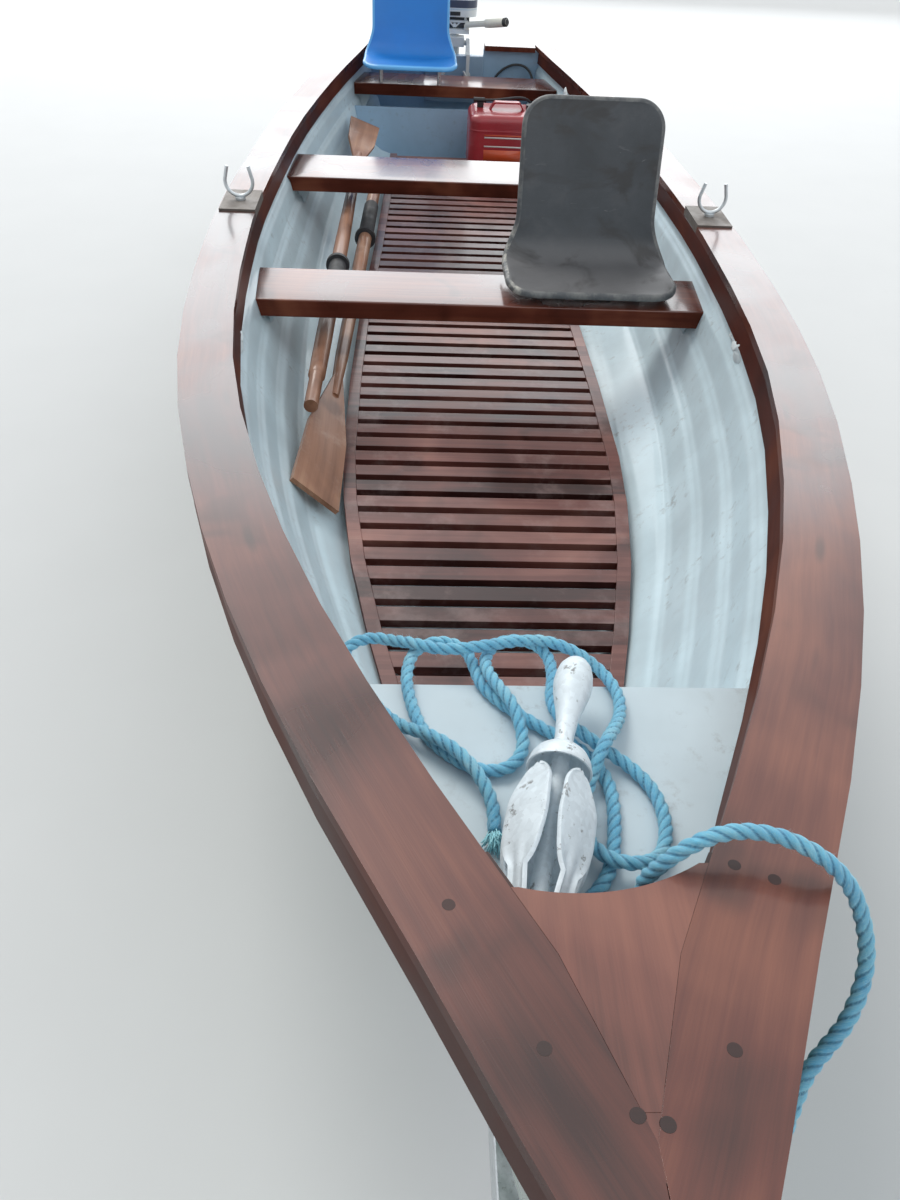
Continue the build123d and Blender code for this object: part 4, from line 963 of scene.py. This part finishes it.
def fuel_hose():
    curve = cord_curve("fuel_hose_line", HOSE, HOSE_RESOLUTION)
    curve.data.bevel_depth = HOSE_DIAMETER / 2
    curve.data.bevel_resolution = 4
    curve.data.materials.append(rubber_finish.material)
    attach(curve, "root")
    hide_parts("fuel_hose")
    length = reach_along(curve_path(HOSE, HOSE_RESOLUTION))[-1]


# Seats: dished shells with their edges rolled over, in millimetres, from the front lip aft and up

SEAT_SHELL = 3.6
SEAT_TOP = (329.0, 352.0)
SEAT_LIP = (9.0, 9.0)
SEAT_FOLD = (238.0, -1.0)
SEAT_BEND = 72
SEAT_ROWS = 44
SEAT_COLUMNS = 30
EDGE_CROWDING = 0.35
PAN_CORNER = 62
BACK_CORNER = 58
# How far along the shell it narrows from the pan's width to the back's, and over what length
NARROWING = (190, 130)
SEAT_DISH = 9.0
BACK_HOLLOW = 4.0
HOLLOW_START = 250
EDGE_RUN = 60
ROLL_RADIUS = 8.0
ROLL_ANGLES = (25, 50, 75, 95)
ROLL_DEPTH = 5.0


def reach_of(line):
    """How far along a flat line each of its points lies."""
    return np.concatenate([[0], np.cumsum(np.linalg.norm(np.diff(line, axis=0), axis=1))])


def seat_profile():
    """Points along a seat's middle, from its front lip over the pan and up the back (run aft, height)."""
    corner, front, top = np.array(SEAT_FOLD), np.array(SEAT_LIP), np.array(SEAT_TOP)
    pan = (front - corner) / np.linalg.norm(front - corner)
    back = (top - corner) / np.linalg.norm(top - corner)
    half_angle = np.arccos(pan @ back) / 2
    reach = SEAT_BEND / np.tan(half_angle)
    centre = corner + (pan + back) / np.linalg.norm(pan + back) * SEAT_BEND / np.sin(half_angle)
    start, stop = corner + pan * reach - centre, corner + back * reach - centre
    line = [front + (corner + pan * reach - front) * part for part in np.linspace(0, 1, 16)[:-1]]
    sweep = np.arctan2(stop[1], stop[0]) - np.arctan2(start[1], start[0])
    sweep = (sweep + pi) % (2 * pi) - pi
    for turn in np.linspace(0, 1, 12) * sweep:
        line.append(centre + np.array([start[0] * cos(turn) - start[1] * sin(turn),
                                       start[0] * sin(turn) + start[1] * cos(turn)]))
    upright = top - corner - back * reach
    line += [corner + back * reach + upright * part for part in np.linspace(0, 1, 19)[1:]]
    line = np.array(line)
    far = reach_of(line)
    ends = PAN_CORNER * (1 - np.cos(np.linspace(0, pi / 2, 11)))
    middle = np.linspace(PAN_CORNER, far[-1] - PAN_CORNER, SEAT_ROWS)[1:-1]
    places = np.concatenate([ends, middle, far[-1] - ends[::-1]])
    return np.stack([np.interp(places, far, line[:, 0]), np.interp(places, far, line[:, 1])], axis=1)


def rounded_half(half, from_end, radius):
    """Half-width near an end whose corners are rounded."""
    if from_end >= radius:
        return half
    return half - radius + sqrt(max(radius**2 - (radius - from_end) ** 2, 0.0))


def rolled_rings(loop, normals):
    """Rings of points that carry a surface's border outward and down, as its rolled edge."""
    tangents = np.roll(loop, -1, axis=0) - np.roll(loop, 1, axis=0)
    outward = np.cross(tangents, normals)
    outward /= np.linalg.norm(outward, axis=1)[:, None]
    widest = np.argmax(np.abs(loop[:, 1]))
    if outward[widest, 1] * loop[widest, 1] < 0:
        outward = -outward
    rings = [loop + (outward * sin(turn) - normals * (1 - cos(turn))) * ROLL_RADIUS
             for turn in np.radians(ROLL_ANGLES)]
    return rings + [rings[-1] - normals * ROLL_DEPTH]


def seat(name, node, place, half, back_half, finishes):
    """A bucket seat at a place on the boat, its pan and back as wide as twice the half-widths."""
    line = seat_profile()
    far = reach_of(line)
    ways = np.gradient(line, axis=0)
    ways /= np.linalg.norm(ways, axis=1)[:, None]
    lifts = np.stack([-ways[:, 1], ways[:, 0]], axis=1)

    def shell_point(number, across):
        reach, rest = far[number], far[-1] - far[number]
        width = half + (back_half - half) * ease((reach - NARROWING[0]) / NARROWING[1])
        width = min(rounded_half(width, reach, PAN_CORNER), rounded_half(width, rest, BACK_CORNER))
        dish = SEAT_DISH * abs(across) ** 3 * ease(reach / EDGE_RUN) * ease(rest / EDGE_RUN)
        hollow = BACK_HOLLOW * ease((reach - HOLLOW_START) / EDGE_RUN) * (1 - across**2)
        aft, height = line[number] + lifts[number] * (dish - hollow)
        return np.array([aft, across * width, height])

    even = np.linspace(-1, 1, SEAT_COLUMNS)
    columns = np.sin(even * pi / 2) * EDGE_CROWDING + even * (1 - EDGE_CROWDING)
    surface = np.array([[shell_point(number, across) for across in columns] for number in range(len(line))])
    rows, width = surface.shape[:2]
    border = [(0, column) for column in range(width)]
    border += [(row, width - 1) for row in range(1, rows)]
    border += [(rows - 1, column) for column in range(width - 2, -1, -1)]
    border += [(row, 0) for row in range(rows - 2, 0, -1)]
    loop = np.array([surface[row, column] for row, column in border])
    normals = np.array([[lifts[row][0], 0, lifts[row][1]] for row, _ in border])
    form = Form()

    def world(point):
        return spot(*(np.array(place) + point))

    form.grid([[world(point) for point in row] for row in surface])
    starts = []
    for ring in rolled_rings(loop, normals):
        starts.append(len(form.points))
        form.points.extend(world(point) for point in ring)
    for number, (row, column) in enumerate(border):
        after = (number + 1) % len(border)
        low, high = row * width + column, border[after][0] * width + border[after][1]
        form.face((low, starts[0] + number, starts[0] + after, high), 1)
        for lower, upper in zip(starts, starts[1:]):
            form.face((lower + number, upper + number, upper + after, lower + after), 1)
    piece = form.make(name, finishes, slot=node, crease=0)
    work = bmesh.new()
    work.from_mesh(piece.data)
    bmesh.ops.recalc_face_normals(work, faces=work.faces)
    work.to_mesh(piece.data)
    work.free()
    plate(piece, SEAT_SHELL)
    smooth = piece.modifiers.new("smooth", "SUBSURF")
    smooth.levels = 1
    smooth.render_levels = 1
    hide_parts(node)


def plate(piece, thickness):
    """Gives a surface its thickness in millimetres, half to each side."""
    skin = piece.modifiers.new("plate", "SOLIDIFY")
    skin.thickness = thickness * MM
    skin.offset = 0


def seat_black_finishes():
    """Scuffed charcoal, greyer on the pan, and a rim that is worn on one side."""
    black = Finish("seat_black_shell", roughness=0.52)
    cloud = black.noise(7.0, detail=5.0, roughness=0.62)
    shade = black.ramp(cloud, (0.30, (0.036, 0.041, 0.047)), (0.55, (0.060, 0.066, 0.074)),
                       (0.78, (0.105, 0.108, 0.115)))
    crease = black.noise(1.0, black.stretched(14.0, 5.0, 34.0), 6.0, 0.75, 1.2)
    shade = black.mix(black.span(crease, 0.62, 0.68, 0.0, 0.4), shade, (0.15, 0.15, 0.155))
    pan = black.span(black.axes()[2], DATUM + 0.35, DATUM + 0.42, 0.55, 0.0)
    shade = black.mix(pan, shade, (0.175, 0.170, 0.172))
    scratch = black.noise(1.0, black.stretched(44.0, 12.0, 38.0), 3.0, 0.6, 2.5)
    shade = black.mix(black.span(scratch, 0.71, 0.76, 0.0, 0.5), shade, (0.24, 0.24, 0.23))
    stain = black.noise(1.0, black.stretched(5.0, 6.0, 9.0), 4.0, 0.6, 0.8)
    black.colour(black.mix(black.span(stain, 0.50, 0.66, 0.0, 0.7), shade, (0.030, 0.027, 0.026)))
    black.rough(black.span(cloud, 0.3, 0.7, 0.42, 0.62))
    black.bump(crease, 0.0012, 0.5)
    rim = Finish("seat_black_rim", roughness=0.5)
    wear = rim.noise(26.0, detail=6.0, roughness=0.7)
    _, y, z = rim.axes()
    worn_side = rim.maths("MULTIPLY", rim.span(y, 0.075, 0.105, 1.0, 0.0),
                          rim.span(z, DATUM + 0.34, DATUM + 0.50, 1.0, 0.0))
    worn = rim.maths("MULTIPLY_ADD", worn_side, 0.75, 0.12)
    amount = rim.maths("MULTIPLY", rim.span(wear, 0.40, 0.62), worn)
    rim.colour(rim.mix(amount, rim.ramp(wear, (0.3, (0.055, 0.060, 0.066)), (0.7, (0.12, 0.125, 0.13))),
                       (0.55, 0.53, 0.47)))
    return black, rim


def seat_blue_finishes():
    """Blue plastic, with a painted highlight along the pan's front edge and on the rim."""
    blue = painted("seat_blue_shell", (0.014, 0.215, 0.66), 0.46, 0.06, 0.1, 0.1, 0.0006)
    base = blue.shader.inputs["Base Color"].links[0].from_socket
    # Painted highlight along the pan's front edge
    edge = blue.span(blue.axes()[0], BOW - 4.142, BOW - 4.126, 0.0, 0.75)
    blue.colour(blue.mix(edge, base, (0.13, 0.47, 0.88)))
    # The rim is the same blue plastic, painted paler as a highlight
    return blue, painted("seat_blue_rim_painted_highlight", (0.11, 0.44, 0.86), 0.36, 0.06, 0.2, 0.3)


# Folding anchor, with Z from its head to its crown, in millimetres

ANCHOR_HEAD = (648, 22, 529.8)
ANCHOR_CROWN = (270, -70, 516.8)
ANCHOR_SHANK = [
    (0.0, 9.0), (8.0, 9.6), (13.0, 13.5), (17.5, 21.0), (20.2, 32.0), (21.2, 44.0), (20.2, 56.0),
    (17.4, 69.0), (14.0, 83.0), (11.4, 98.0), (10.0, 114.0), (9.2, 150.0), (9.0, 340.0), (15.0, 352.0),
    (17.0, 362.0), (17.0, 378.0), (10.0, 388.0), (0.0, 390.0),
]
ANCHOR_COLLAR = [
    (9.4, 134.0), (15.0, 135.0), (21.5, 138.0), (27.0, 143.5), (30.8, 151.0), (32.4, 159.0),
    (33.0, 161.0), (32.6, 162.6), (30.8, 162.6), (29.2, 157.0), (25.2, 149.5), (20.0, 143.5),
    (14.0, 140.5), (9.4, 140.0),
]
PIN_HEIGHT = 370
PIN_RADIUS = 4.5
PIN_OUT = 14
PIN_HALF = 13
FLUKES = 4
FLUKE_COLUMNS = 15
PALM_START = 172
PALM_MIDDLE = 232
PALM_LENGTH = 60.0
PALM_END = 292
PALM_HALF = 25.0
ARM_HALF = 9.5
FLUKE_THICKNESS = 4.2
FLUKE_ROWS = [*(192 - 20 * np.cos(np.linspace(0, pi / 2, 9))[:-1]), *np.linspace(192, 300, 18),
              *np.linspace(308, 374, 8)]


def fluke_row(middle, height):
    """Points across a folded fluke at a height: a leaf-shaped palm, then a ribbed arm."""
    leaf = 1 - ((height - PALM_MIDDLE) / PALM_LENGTH) ** 2
    palm = PALM_HALF * sqrt(max(leaf, 0.0)) if height < PALM_END else 0.0
    half = max(palm, ARM_HALF * ease((height - 230) / 50), 1.0)
    # It stands away from the shank along the palm, and draws in again along the arm
    base = 26.0 + 13.0 * ease((height - 160) / 60)
    base -= 11.0 * ease((height - 245) / 80) + 9.0 * ease((height - 310) / 64)
    row = []
    for across in np.linspace(-1, 1, FLUKE_COLUMNS):
        hollow = 4.68 * (1 - across**2) * ease((height - PALM_START) / 30)
        rib = 2.4 * (1 - ease(abs(across) * half / 8.0)) * ease((height - 250) / 40)
        radius = base - hollow + rib + 2.2 * abs(across) ** 4
        angle = middle + across * half / base
        row.append(Vector((radius * cos(angle), radius * sin(angle), height)))
    return row


def anchor():
    place = place_along(spot(*ANCHOR_HEAD), spot(*ANCHOR_CROWN)) @ Matrix.Scale(MM, 4)
    shank = Form()
    shank.lathe(ANCHOR_SHANK, place, 28)
    shank.lathe(ANCHOR_COLLAR, place, 48)
    flukes = Form()
    for number in range(FLUKES):
        angle = pi / 4 + number * pi / 2
        out, across = Vector((cos(angle), sin(angle), 0)), Vector((sin(angle), -cos(angle), 0))
        pin = [place @ (out * PIN_OUT + across * PIN_HALF * side + Vector((0, 0, PIN_HEIGHT)))
               for side in (-1, 1)]
        shank.tube(pin, PIN_RADIUS * MM, 12)
        flukes.grid([[place @ point for point in fluke_row(angle, height)] for height in FLUKE_ROWS])
    body = shank.make("anchor_shank", [anchor_finish], slot="galvanised", crease=35)
    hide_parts("anchor")
    blades = flukes.make("anchor_flukes", [anchor_finish], slot="galvanised", crease=50)
    plate(blades, FLUKE_THICKNESS)
    soften(blades, 1.1 * MM, 2, 50)


# Deck joinery: the wedge at the bow, backing strips under the joints, dowel plugs and filler

WEDGE_START = 112
WEDGE_BEYOND = 32
WEDGE_LAP = 12.0
WEDGE_FACES = (0.3, 17.5)
STRIP_RUN = (150, 372)
STRIP_HALF = 4
STRIP_FACES = (0.9, 26)
PLUGS = ((318, -131), (199, -67), (153, -10), (147, 9), (358, 114), (343, 144), (197, 68))
PLUG_PROFILE = ((0.0001, 0.0002), (0.0056, 0.0002), (0.0060, -0.0006))


def deck_board(aft, sides, faces):
    """Section of a board under the deck between two sides, from one drop below the deck's top to another."""
    return [spot(aft, side, deck_top(aft) - drop) for side, drop in
            zip((*sides, *reversed(sides)), (faces[0], faces[0], faces[1], faces[1]))]


def deck_joinery():
    """Fills the bow between the side decks, backs its joints, and sets the dowel plugs."""
    wedge = Form()
    rows = []
    wedge_end = (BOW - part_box("foredeck")[1].x) / MM + WEDGE_BEYOND
    for aft in np.linspace(WEDGE_START, wedge_end, 16):
        half = deck_inner(aft * MM / LENGTH) + WEDGE_LAP
        rows.append(deck_board(aft, (-half, half), WEDGE_FACES))
    wedge.prism(rows)
    wedge.make("foredeck_wedge", [fore_finish], slot="deck_wood")
    strips = Form()
    for side in (PORT, STARBOARD):
        rows = []
        for aft in np.linspace(*STRIP_RUN, 20):
            middle = deck_inner(aft * MM / LENGTH)
            edges = [side * max(middle + reach, 0.5) for reach in (-STRIP_HALF, STRIP_HALF)]
            rows.append(deck_board(aft, edges, STRIP_FACES))
        strips.prism(rows)
    strips.make("foredeck_carlins", [plug_finish], slot="rail_wood")
    plugs = Form()
    for aft, y in PLUGS:
        tilt = (deck_top(aft + 5) - deck_top(aft - 5)) / 10
        turn = Vector((tilt, 0, 1)).to_track_quat("Z", "X").to_matrix().to_4x4()
        plugs.lathe(PLUG_PROFILE, Matrix.Translation(spot(aft, y, deck_top(aft))) @ turn, 20)
    plugs.make("deck_plugs", [plug_finish], slot="deck_wood", crease=60)


# Each patch of filler: how far aft it lies, on which side, and how large it is
FILLER_PLACES = ((1720, 1, 1.0), (1800, 1, 0.55), (1690, -1, 0.9), (1790, -1, 0.6), (4080, 1, 0.9))
FILLER_DROP = 70
FILLER_HALVES = Vector((0.036, 0.013, 0.026))


def hull_filler():
    """Patches of white filler under the inwales, where the moulding was repaired."""
    form = Form()
    for aft, side, size in FILLER_PLACES:
        centre = spot(aft, side * (deck_inner(aft * MM / LENGTH) + 2), deck_top(aft) - FILLER_DROP)
        rows = []
        for ring in range(9):
            lean = pi * ring / 8
            row = []
            for step in range(18):
                turn = 2 * pi * step / 18
                bump = 1 + 0.22 * sin(3 * turn + aft) * sin(lean) + 0.12 * cos(5 * turn + 2 * lean)
                round_point = Vector((sin(lean) * cos(turn), -side * cos(lean), sin(lean) * sin(turn)))
                row.append(centre + round_point * FILLER_HALVES * bump * size)
            rows.append(row)
        form.grid(rows, around=True)
    form.make("hull_filler", [filler_finish], slot="hull_grp", crease=0)


# Tank dressing: bare label and pressed ridges

LABEL_HALF_SHARE = 0.30
LABEL_SUNK = 0.0004
LABEL_PROUD = 0.0006
LABEL_BANDS = ((0.128, 0.133, 0), (0.096, 0.101, 0), (0.040, 0.086, 1), (0.137, 0.141, 1))
TANK_CORNER = 0.045
RIDGE_HEIGHTS = (0.020, 0.152)
RIDGE_SECTION = ((0.0, -0.006), (0.0016, -0.003), (0.0020, 0.0), (0.0016, 0.003), (0.0, 0.006))


def tank_details():
    """A bare label on the tank's forward face, and a pressed ridge round it near each end."""
    low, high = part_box("fuel_tank")
    middle = (low + high) / 2
    half = (high.y - low.y) * LABEL_HALF_SHARE
    label = Form()
    for base, top, kind in LABEL_BANDS:
        label.block((high.x - LABEL_SUNK, middle.y - half, low.z + base),
                    (high.x + LABEL_PROUD, middle.y + half, low.z + top), kind)
    label.make("tank_label", [label_pale_finish, label_orange_finish], crease=0)
    ridges = Form()
    centre = Vector((middle.x, middle.y, 0))
    outline = rounded_outline(low, high, TANK_CORNER, 6, -0.0005)
    for height in RIDGE_HEIGHTS:
        ridges.grid([[point + (point - centre).normalized() * push + Vector((0, 0, low.z + height + rise))
                      for push, rise in RIDGE_SECTION] for point in outline], closed=True)
    ridges.make("tank_ridges", [tank_finish], slot="tank_red", crease=0)


# Outboard dressing: bands round the cowl, its catches, the tiller's grip and the bracing under the cowl

COWL_CORNER = 0.050
COWL_BANDS = ((0.034, 0.062, 0), (0.026, 0.031, 1), (0.065, 0.070, 1))
BAND_PROUD = 0.0005
HANDLE_HEIGHT = 0.085
HANDLE_ROUTE = ((-0.002, -0.030), (0.006, -0.030), (0.006, 0.030), (-0.002, 0.030))
HANDLE_RADIUS = 0.0035


def cowl_details():
    """Stripes round the cowl, its catches at the front and the port side, and its handle."""
    low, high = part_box("motor_cowl")
    band = Form()
    outline = rounded_outline(low, high, COWL_CORNER, 8, BAND_PROUD)
    for base, top, kind in COWL_BANDS:
        band.grid([[point + Vector((0, 0, low.z + height)) for height in (base, top)] for point in outline],
                  closed=True, kind=kind)
    band.make("cowl_band", [navy_finish, grey_finish], body="motor", crease=0)
    bits = Form()
    middle_x = (low.x + high.x) / 2
    bits.block((high.x - 0.004, -0.022, low.z + 0.006), (high.x + 0.004, 0.022, low.z + 0.020))
    bits.block((middle_x - 0.030, high.y - 0.002, low.z + 0.004),
               (middle_x + 0.030, high.y + 0.004, low.z + 0.018))
    bits.tube([(high.x + out, y, low.z + HANDLE_HEIGHT) for out, y in HANDLE_ROUTE], HANDLE_RADIUS, 10)
    bits.make("cowl_catches", [black_finish], body="motor", slot="black_plastic", bevel=0.001)


TILLER_ROOT = Vector((STERN - 0.040, 0.052, DATUM + 0.476))
TILLER_TIP = Vector((STERN + 0.129, 0.213, DATUM + 0.520))
GRIP_RADIUS = 0.0170
GRIP_RINGS = 9
GRIP_RING = ((0.0168, 0.0), (0.0177, 0.001), (0.0177, 0.004), (0.0168, 0.005))


def tiller_grip():
    """Dark end of the tiller, and the ribs of its cream grip."""
    reach = (TILLER_TIP - TILLER_ROOT).length
    place = place_along(TILLER_ROOT, TILLER_TIP)
    grip = Form()
    rings = [(GRIP_RADIUS - max(step - 8, 0) * 0.0016, reach - 0.016 + step * 0.0014) for step in range(13)]
    grip.lathe(rings, place, 28, capped=True)
    for number in range(GRIP_RINGS):
        start = reach - 0.100 + number * 0.009
        grip.lathe([(radius, start + far) for radius, far in GRIP_RING], place, 28, kind=1)
    grip.make("tiller_grip", [black_finish, cream_finish], body="motor", slot="black_plastic")


MOTOR_FACE = Vector((STERN - 0.068, 0, DATUM + 0.458))
BAR_PROUD = 0.006
BAR_HEIGHT = 0.026
BAR_STEPS = (-0.058, -0.020, 0.020, 0.058)
BAR_RADIUS = 0.0055
BRACE_STEPS = ((0.024, 0.024), (0.002, 0.004))
BRACE_RADIUS = 0.0035
SIDE_STUD = (0.046, 0.036)
SIDE_STUD_FACES = (-0.002, 0.007)
SIDE_STUD_RADIUS = 0.0060
STUD_HEIGHT = 0.012
STUD_FACES = (-0.002, 0.010)
STUD_RADIUS = 0.0080


def motor_front():
    """Carrying bar and bracing across the dark gap under the cowl."""
    form = Form()
    form.tube([MOTOR_FACE + Vector((BAR_PROUD, y, BAR_HEIGHT)) for y in BAR_STEPS], BAR_RADIUS, 12)
    for side in (-1, 1):
        brace = [MOTOR_FACE + Vector((BAR_PROUD, side * y, rise)) for y, rise in BRACE_STEPS]
        form.tube(brace, BRACE_RADIUS, 10)
        out, rise = SIDE_STUD
        form.tube([MOTOR_FACE + Vector((proud, side * out, rise)) for proud in SIDE_STUD_FACES],
                  SIDE_STUD_RADIUS, 10)
    form.tube([MOTOR_FACE + Vector((proud, 0, STUD_HEIGHT)) for proud in STUD_FACES], STUD_RADIUS, 14)
    form.make("motor_front", [white_finish], body="motor", slot="motor_white", crease=35)


# Wheels: tread blocks, nuts and hub caps, riding their wheels

TREAD_BLOCKS = 56
# Where a row of blocks lies, as a share of the half-width, and how far it is shifted round
TREAD_ROWS = ((-0.62, 0.0), (-0.21, 0.5), (0.21, 0.0), (0.62, 0.5))
TREAD_WIDTH = 0.78
TREAD_CAMBER = 0.010
BLOCK_HALF = (0.043, 0.155)
BLOCK_SLANT = 0.03
BLOCK_DEPTH = (-0.003, 0.0022)
HUB_CAP = ((0.0001, 0.030), (0.018, 0.029), (0.026, 0.024), (0.029, 0.014), (0.029, 0.0))
WHEEL_NUTS = 4
NUT_CIRCLE = 0.050
NUT_PROFILE = ((0.0001, 0.019), (0.0085, 0.018), (0.0098, 0.015), (0.0098, 0.0))


def tyre_tread(tyre):
    """A tyre's centre, and the staggered rows of slanted blocks round it."""
    low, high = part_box(tyre)
    centre = (low + high) / 2
    radius, half = (high.z - low.z) / 2, (high.y - low.y) / 2
    tread = Form()
    for number in range(TREAD_BLOCKS):
        for row, shift in TREAD_ROWS:
            turn = 2 * pi * (number + shift) / TREAD_BLOCKS
            out = Vector((cos(turn), 0, sin(turn)))
            way = Vector((-sin(turn), 0, cos(turn)))
            drop = TREAD_CAMBER * abs(row) ** 3
            first = len(tread.points)
            for push in BLOCK_DEPTH:
                for step, across in ((-1, -1), (1, -1), (1, 1), (-1, 1)):
                    side = (row + across * BLOCK_HALF[1] + step * BLOCK_SLANT) * half * TREAD_WIDTH
                    edge = out * (radius - drop + push) + way * step * radius * BLOCK_HALF[0]
                    tread.points.append(centre + edge + Vector((0, side, 0)))
            for corners in ((4, 5, 6, 7), (0, 1, 5, 4), (1, 2, 6, 5), (2, 3, 7, 6), (3, 0, 4, 7)):
                tread.face([first + corner for corner in corners])
    return centre, tread


def wheel_details():
    for side in ("starboard", "port"):
        body = "wheel_" + side
        centre, tread = tyre_tread("tyre_" + side)
        tread.make("tyre_tread_" + side, [tyre_finish], body=body, slot="tyre", crease=20)
        outward = -pi / 2 if centre.y > 0 else pi / 2
        place = Matrix.Translation(centre) @ Matrix.Rotation(outward, 4, "X")
        hub = Form()
        hub.lathe(HUB_CAP, place, 28)
        for number in range(WHEEL_NUTS):
            turn = 2 * pi * (number + 0.5) / WHEEL_NUTS
            nut_place = Vector((NUT_CIRCLE * cos(turn), NUT_CIRCLE * sin(turn), 0.0))
            hub.lathe(NUT_PROFILE, place @ Matrix.Translation(nut_place), 6)
        hub.make("wheel_nuts_" + side, [zinc_finish], body=body, slot="galvanised", crease=30)


# Bolts of the coupling and the stand's bracket, with their washers

WASHER = ((1.35, 0.0), (1.35, 0.0016), (0.9, 0.0018))
COUPLING_BOLTS = (0.030, 0.090)
BRACKET_MARGIN = 0.018
SUNK = Vector((0, 0, 0.0005))


def bolt(heads, place, radius, height):
    """A hexagonal head on a round washer."""
    heads.lathe([(0.0001, height), (radius * 0.86, height), (radius, height * 0.75), (radius, 0.0)], place, 6)
    heads.lathe([(radius * share, rise) for share, rise in WASHER], place, 18)


def bolts():
    heads = Form()
    low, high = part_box("ball_coupling")
    for inset in COUPLING_BOLTS:
        bolt(heads, Matrix.Translation(Vector((low.x + inset, 0, high.z)) - SUNK), 0.010, 0.007)
    low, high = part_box("stand_bracket")
    outward = Matrix.Rotation(-pi / 2, 4, "X")
    for z in (low.z + BRACKET_MARGIN, high.z - BRACKET_MARGIN):
        place = Matrix.Translation(Vector(((low.x + high.x) / 2, high.y, z))) @ outward
        bolt(heads, place @ Matrix.Translation(-SUNK), 0.007, 0.005)
    heads.make("frame_bolts", [zinc_finish], slot="galvanised", crease=30)


# Light, floor and background: two soft suns, a pale sky, and a bright panel low behind the stern
# that the varnished decks mirror

FLOOR_HALF = 60
FLOOR_TONES = ((0.3, (0.675, 0.685, 0.69)), (0.7, (0.69, 0.70, 0.705)))
SKY_COLOUR = (0.93, 0.97, 1.0, 1)
WORLD_LIGHT = 0.62
SUN_LIGHT = 1.5
FILL_LIGHT = 0.55
# Each sun: where it stands, its strength, its spread in degrees and its colour
SUNS = {
    "key": ((-5.0, -3.0, 7.0), SUN_LIGHT, 28, (1.0, 0.97, 0.92)),
    "fill": ((4.0, 4.0, 5.0), FILL_LIGHT, 60, (0.92, 0.96, 1.0)),
}
PANEL_LIGHT = 330
PANEL_SIZE = (12, 4.6)
PANEL_PLACE = (-9.0, 0, 3.4)
PANEL_WAY = (1, 0, -0.18)
PANEL_COLOUR = (0.95, 0.98, 1.0)


def make_floor():
    mesh = bpy.data.meshes.new("floor")
    corners = [(x, y, 0) for x in (-FLOOR_HALF, FLOOR_HALF) for y in (-FLOOR_HALF, FLOOR_HALF)]
    mesh.from_pydata(corners, [], [(0, 1, 3, 2)])
    finish = Finish("floor", roughness=0.85)
    finish.colour(finish.ramp(finish.noise(3.0, detail=6.0), *FLOOR_TONES))
    mesh.materials.append(finish.material)
    ground = bpy.data.objects.new("floor", mesh)
    bpy.context.scene.collection.objects.link(ground)


def make_sky():
    """A world that lights softly, but shows white to the camera and in what shines."""
    world = bpy.data.worlds.new("world")
    bpy.context.scene.world = world
    world.use_nodes = True
    tree = world.node_tree
    back = tree.nodes["Background"]
    rays = tree.nodes.new("ShaderNodeLightPath")
    seen = rays.outputs["Is Camera Ray"]
    for kind in ("Is Glossy Ray", "Is Transmission Ray"):
        either = tree.nodes.new("ShaderNodeMath")
        either.operation = "MAXIMUM"
        tree.links.new(seen, either.inputs[0])
        tree.links.new(rays.outputs[kind], either.inputs[1])
        seen = either.outputs[0]
    strength = tree.nodes.new("ShaderNodeMapRange")
    strength.inputs["To Min"].default_value = WORLD_LIGHT
    strength.inputs["To Max"].default_value = 1.0
    tree.links.new(seen, strength.inputs["Value"])
    tree.links.new(strength.outputs[0], back.inputs["Strength"])
    back.inputs["Color"].default_value = SKY_COLOUR


def add_lamp(name, kind, energy, colour, way):
    """A lamp that shines along a direction."""
    data = bpy.data.lights.new(name, kind)
    data.energy = energy
    data.color = colour
    lamp = bpy.data.objects.new(name, data)
    lamp.rotation_euler = way.to_track_quat("-Z", "Y").to_euler()
    bpy.context.scene.collection.objects.link(lamp)
    return lamp


def make_lights():
    for name, (place, energy, spread, colour) in SUNS.items():
        lamp = add_lamp(name, "SUN", energy, colour, -Vector(place))
        lamp.data.angle = radians(spread)
    panel = add_lamp("sky_panel", "AREA", PANEL_LIGHT, PANEL_COLOUR, Vector(PANEL_WAY))
    panel.data.shape = "RECTANGLE"
    panel.data.size, panel.data.size_y = PANEL_SIZE
    panel.location = PANEL_PLACE
    panel.visible_camera = False


make_camera()
mooring_rope()
fuel_hose()
dress_solids()
hull_shell()
seat("seat_black_shell", "seat_black", (2046, 268, 346), 200, 166, seat_black_finishes())
seat("seat_blue_shell", "seat_blue", (4112, -190, 392), 183, 150, seat_blue_finishes())
anchor()
deck_joinery()
hull_filler()
tank_details()
cowl_details()
tiller_grip()
motor_front()
wheel_details()
bolts()
make_floor()
make_sky()
make_lights()
bpy.context.scene.view_settings.view_transform = "Standard"

bpy.context.view_layer.update()
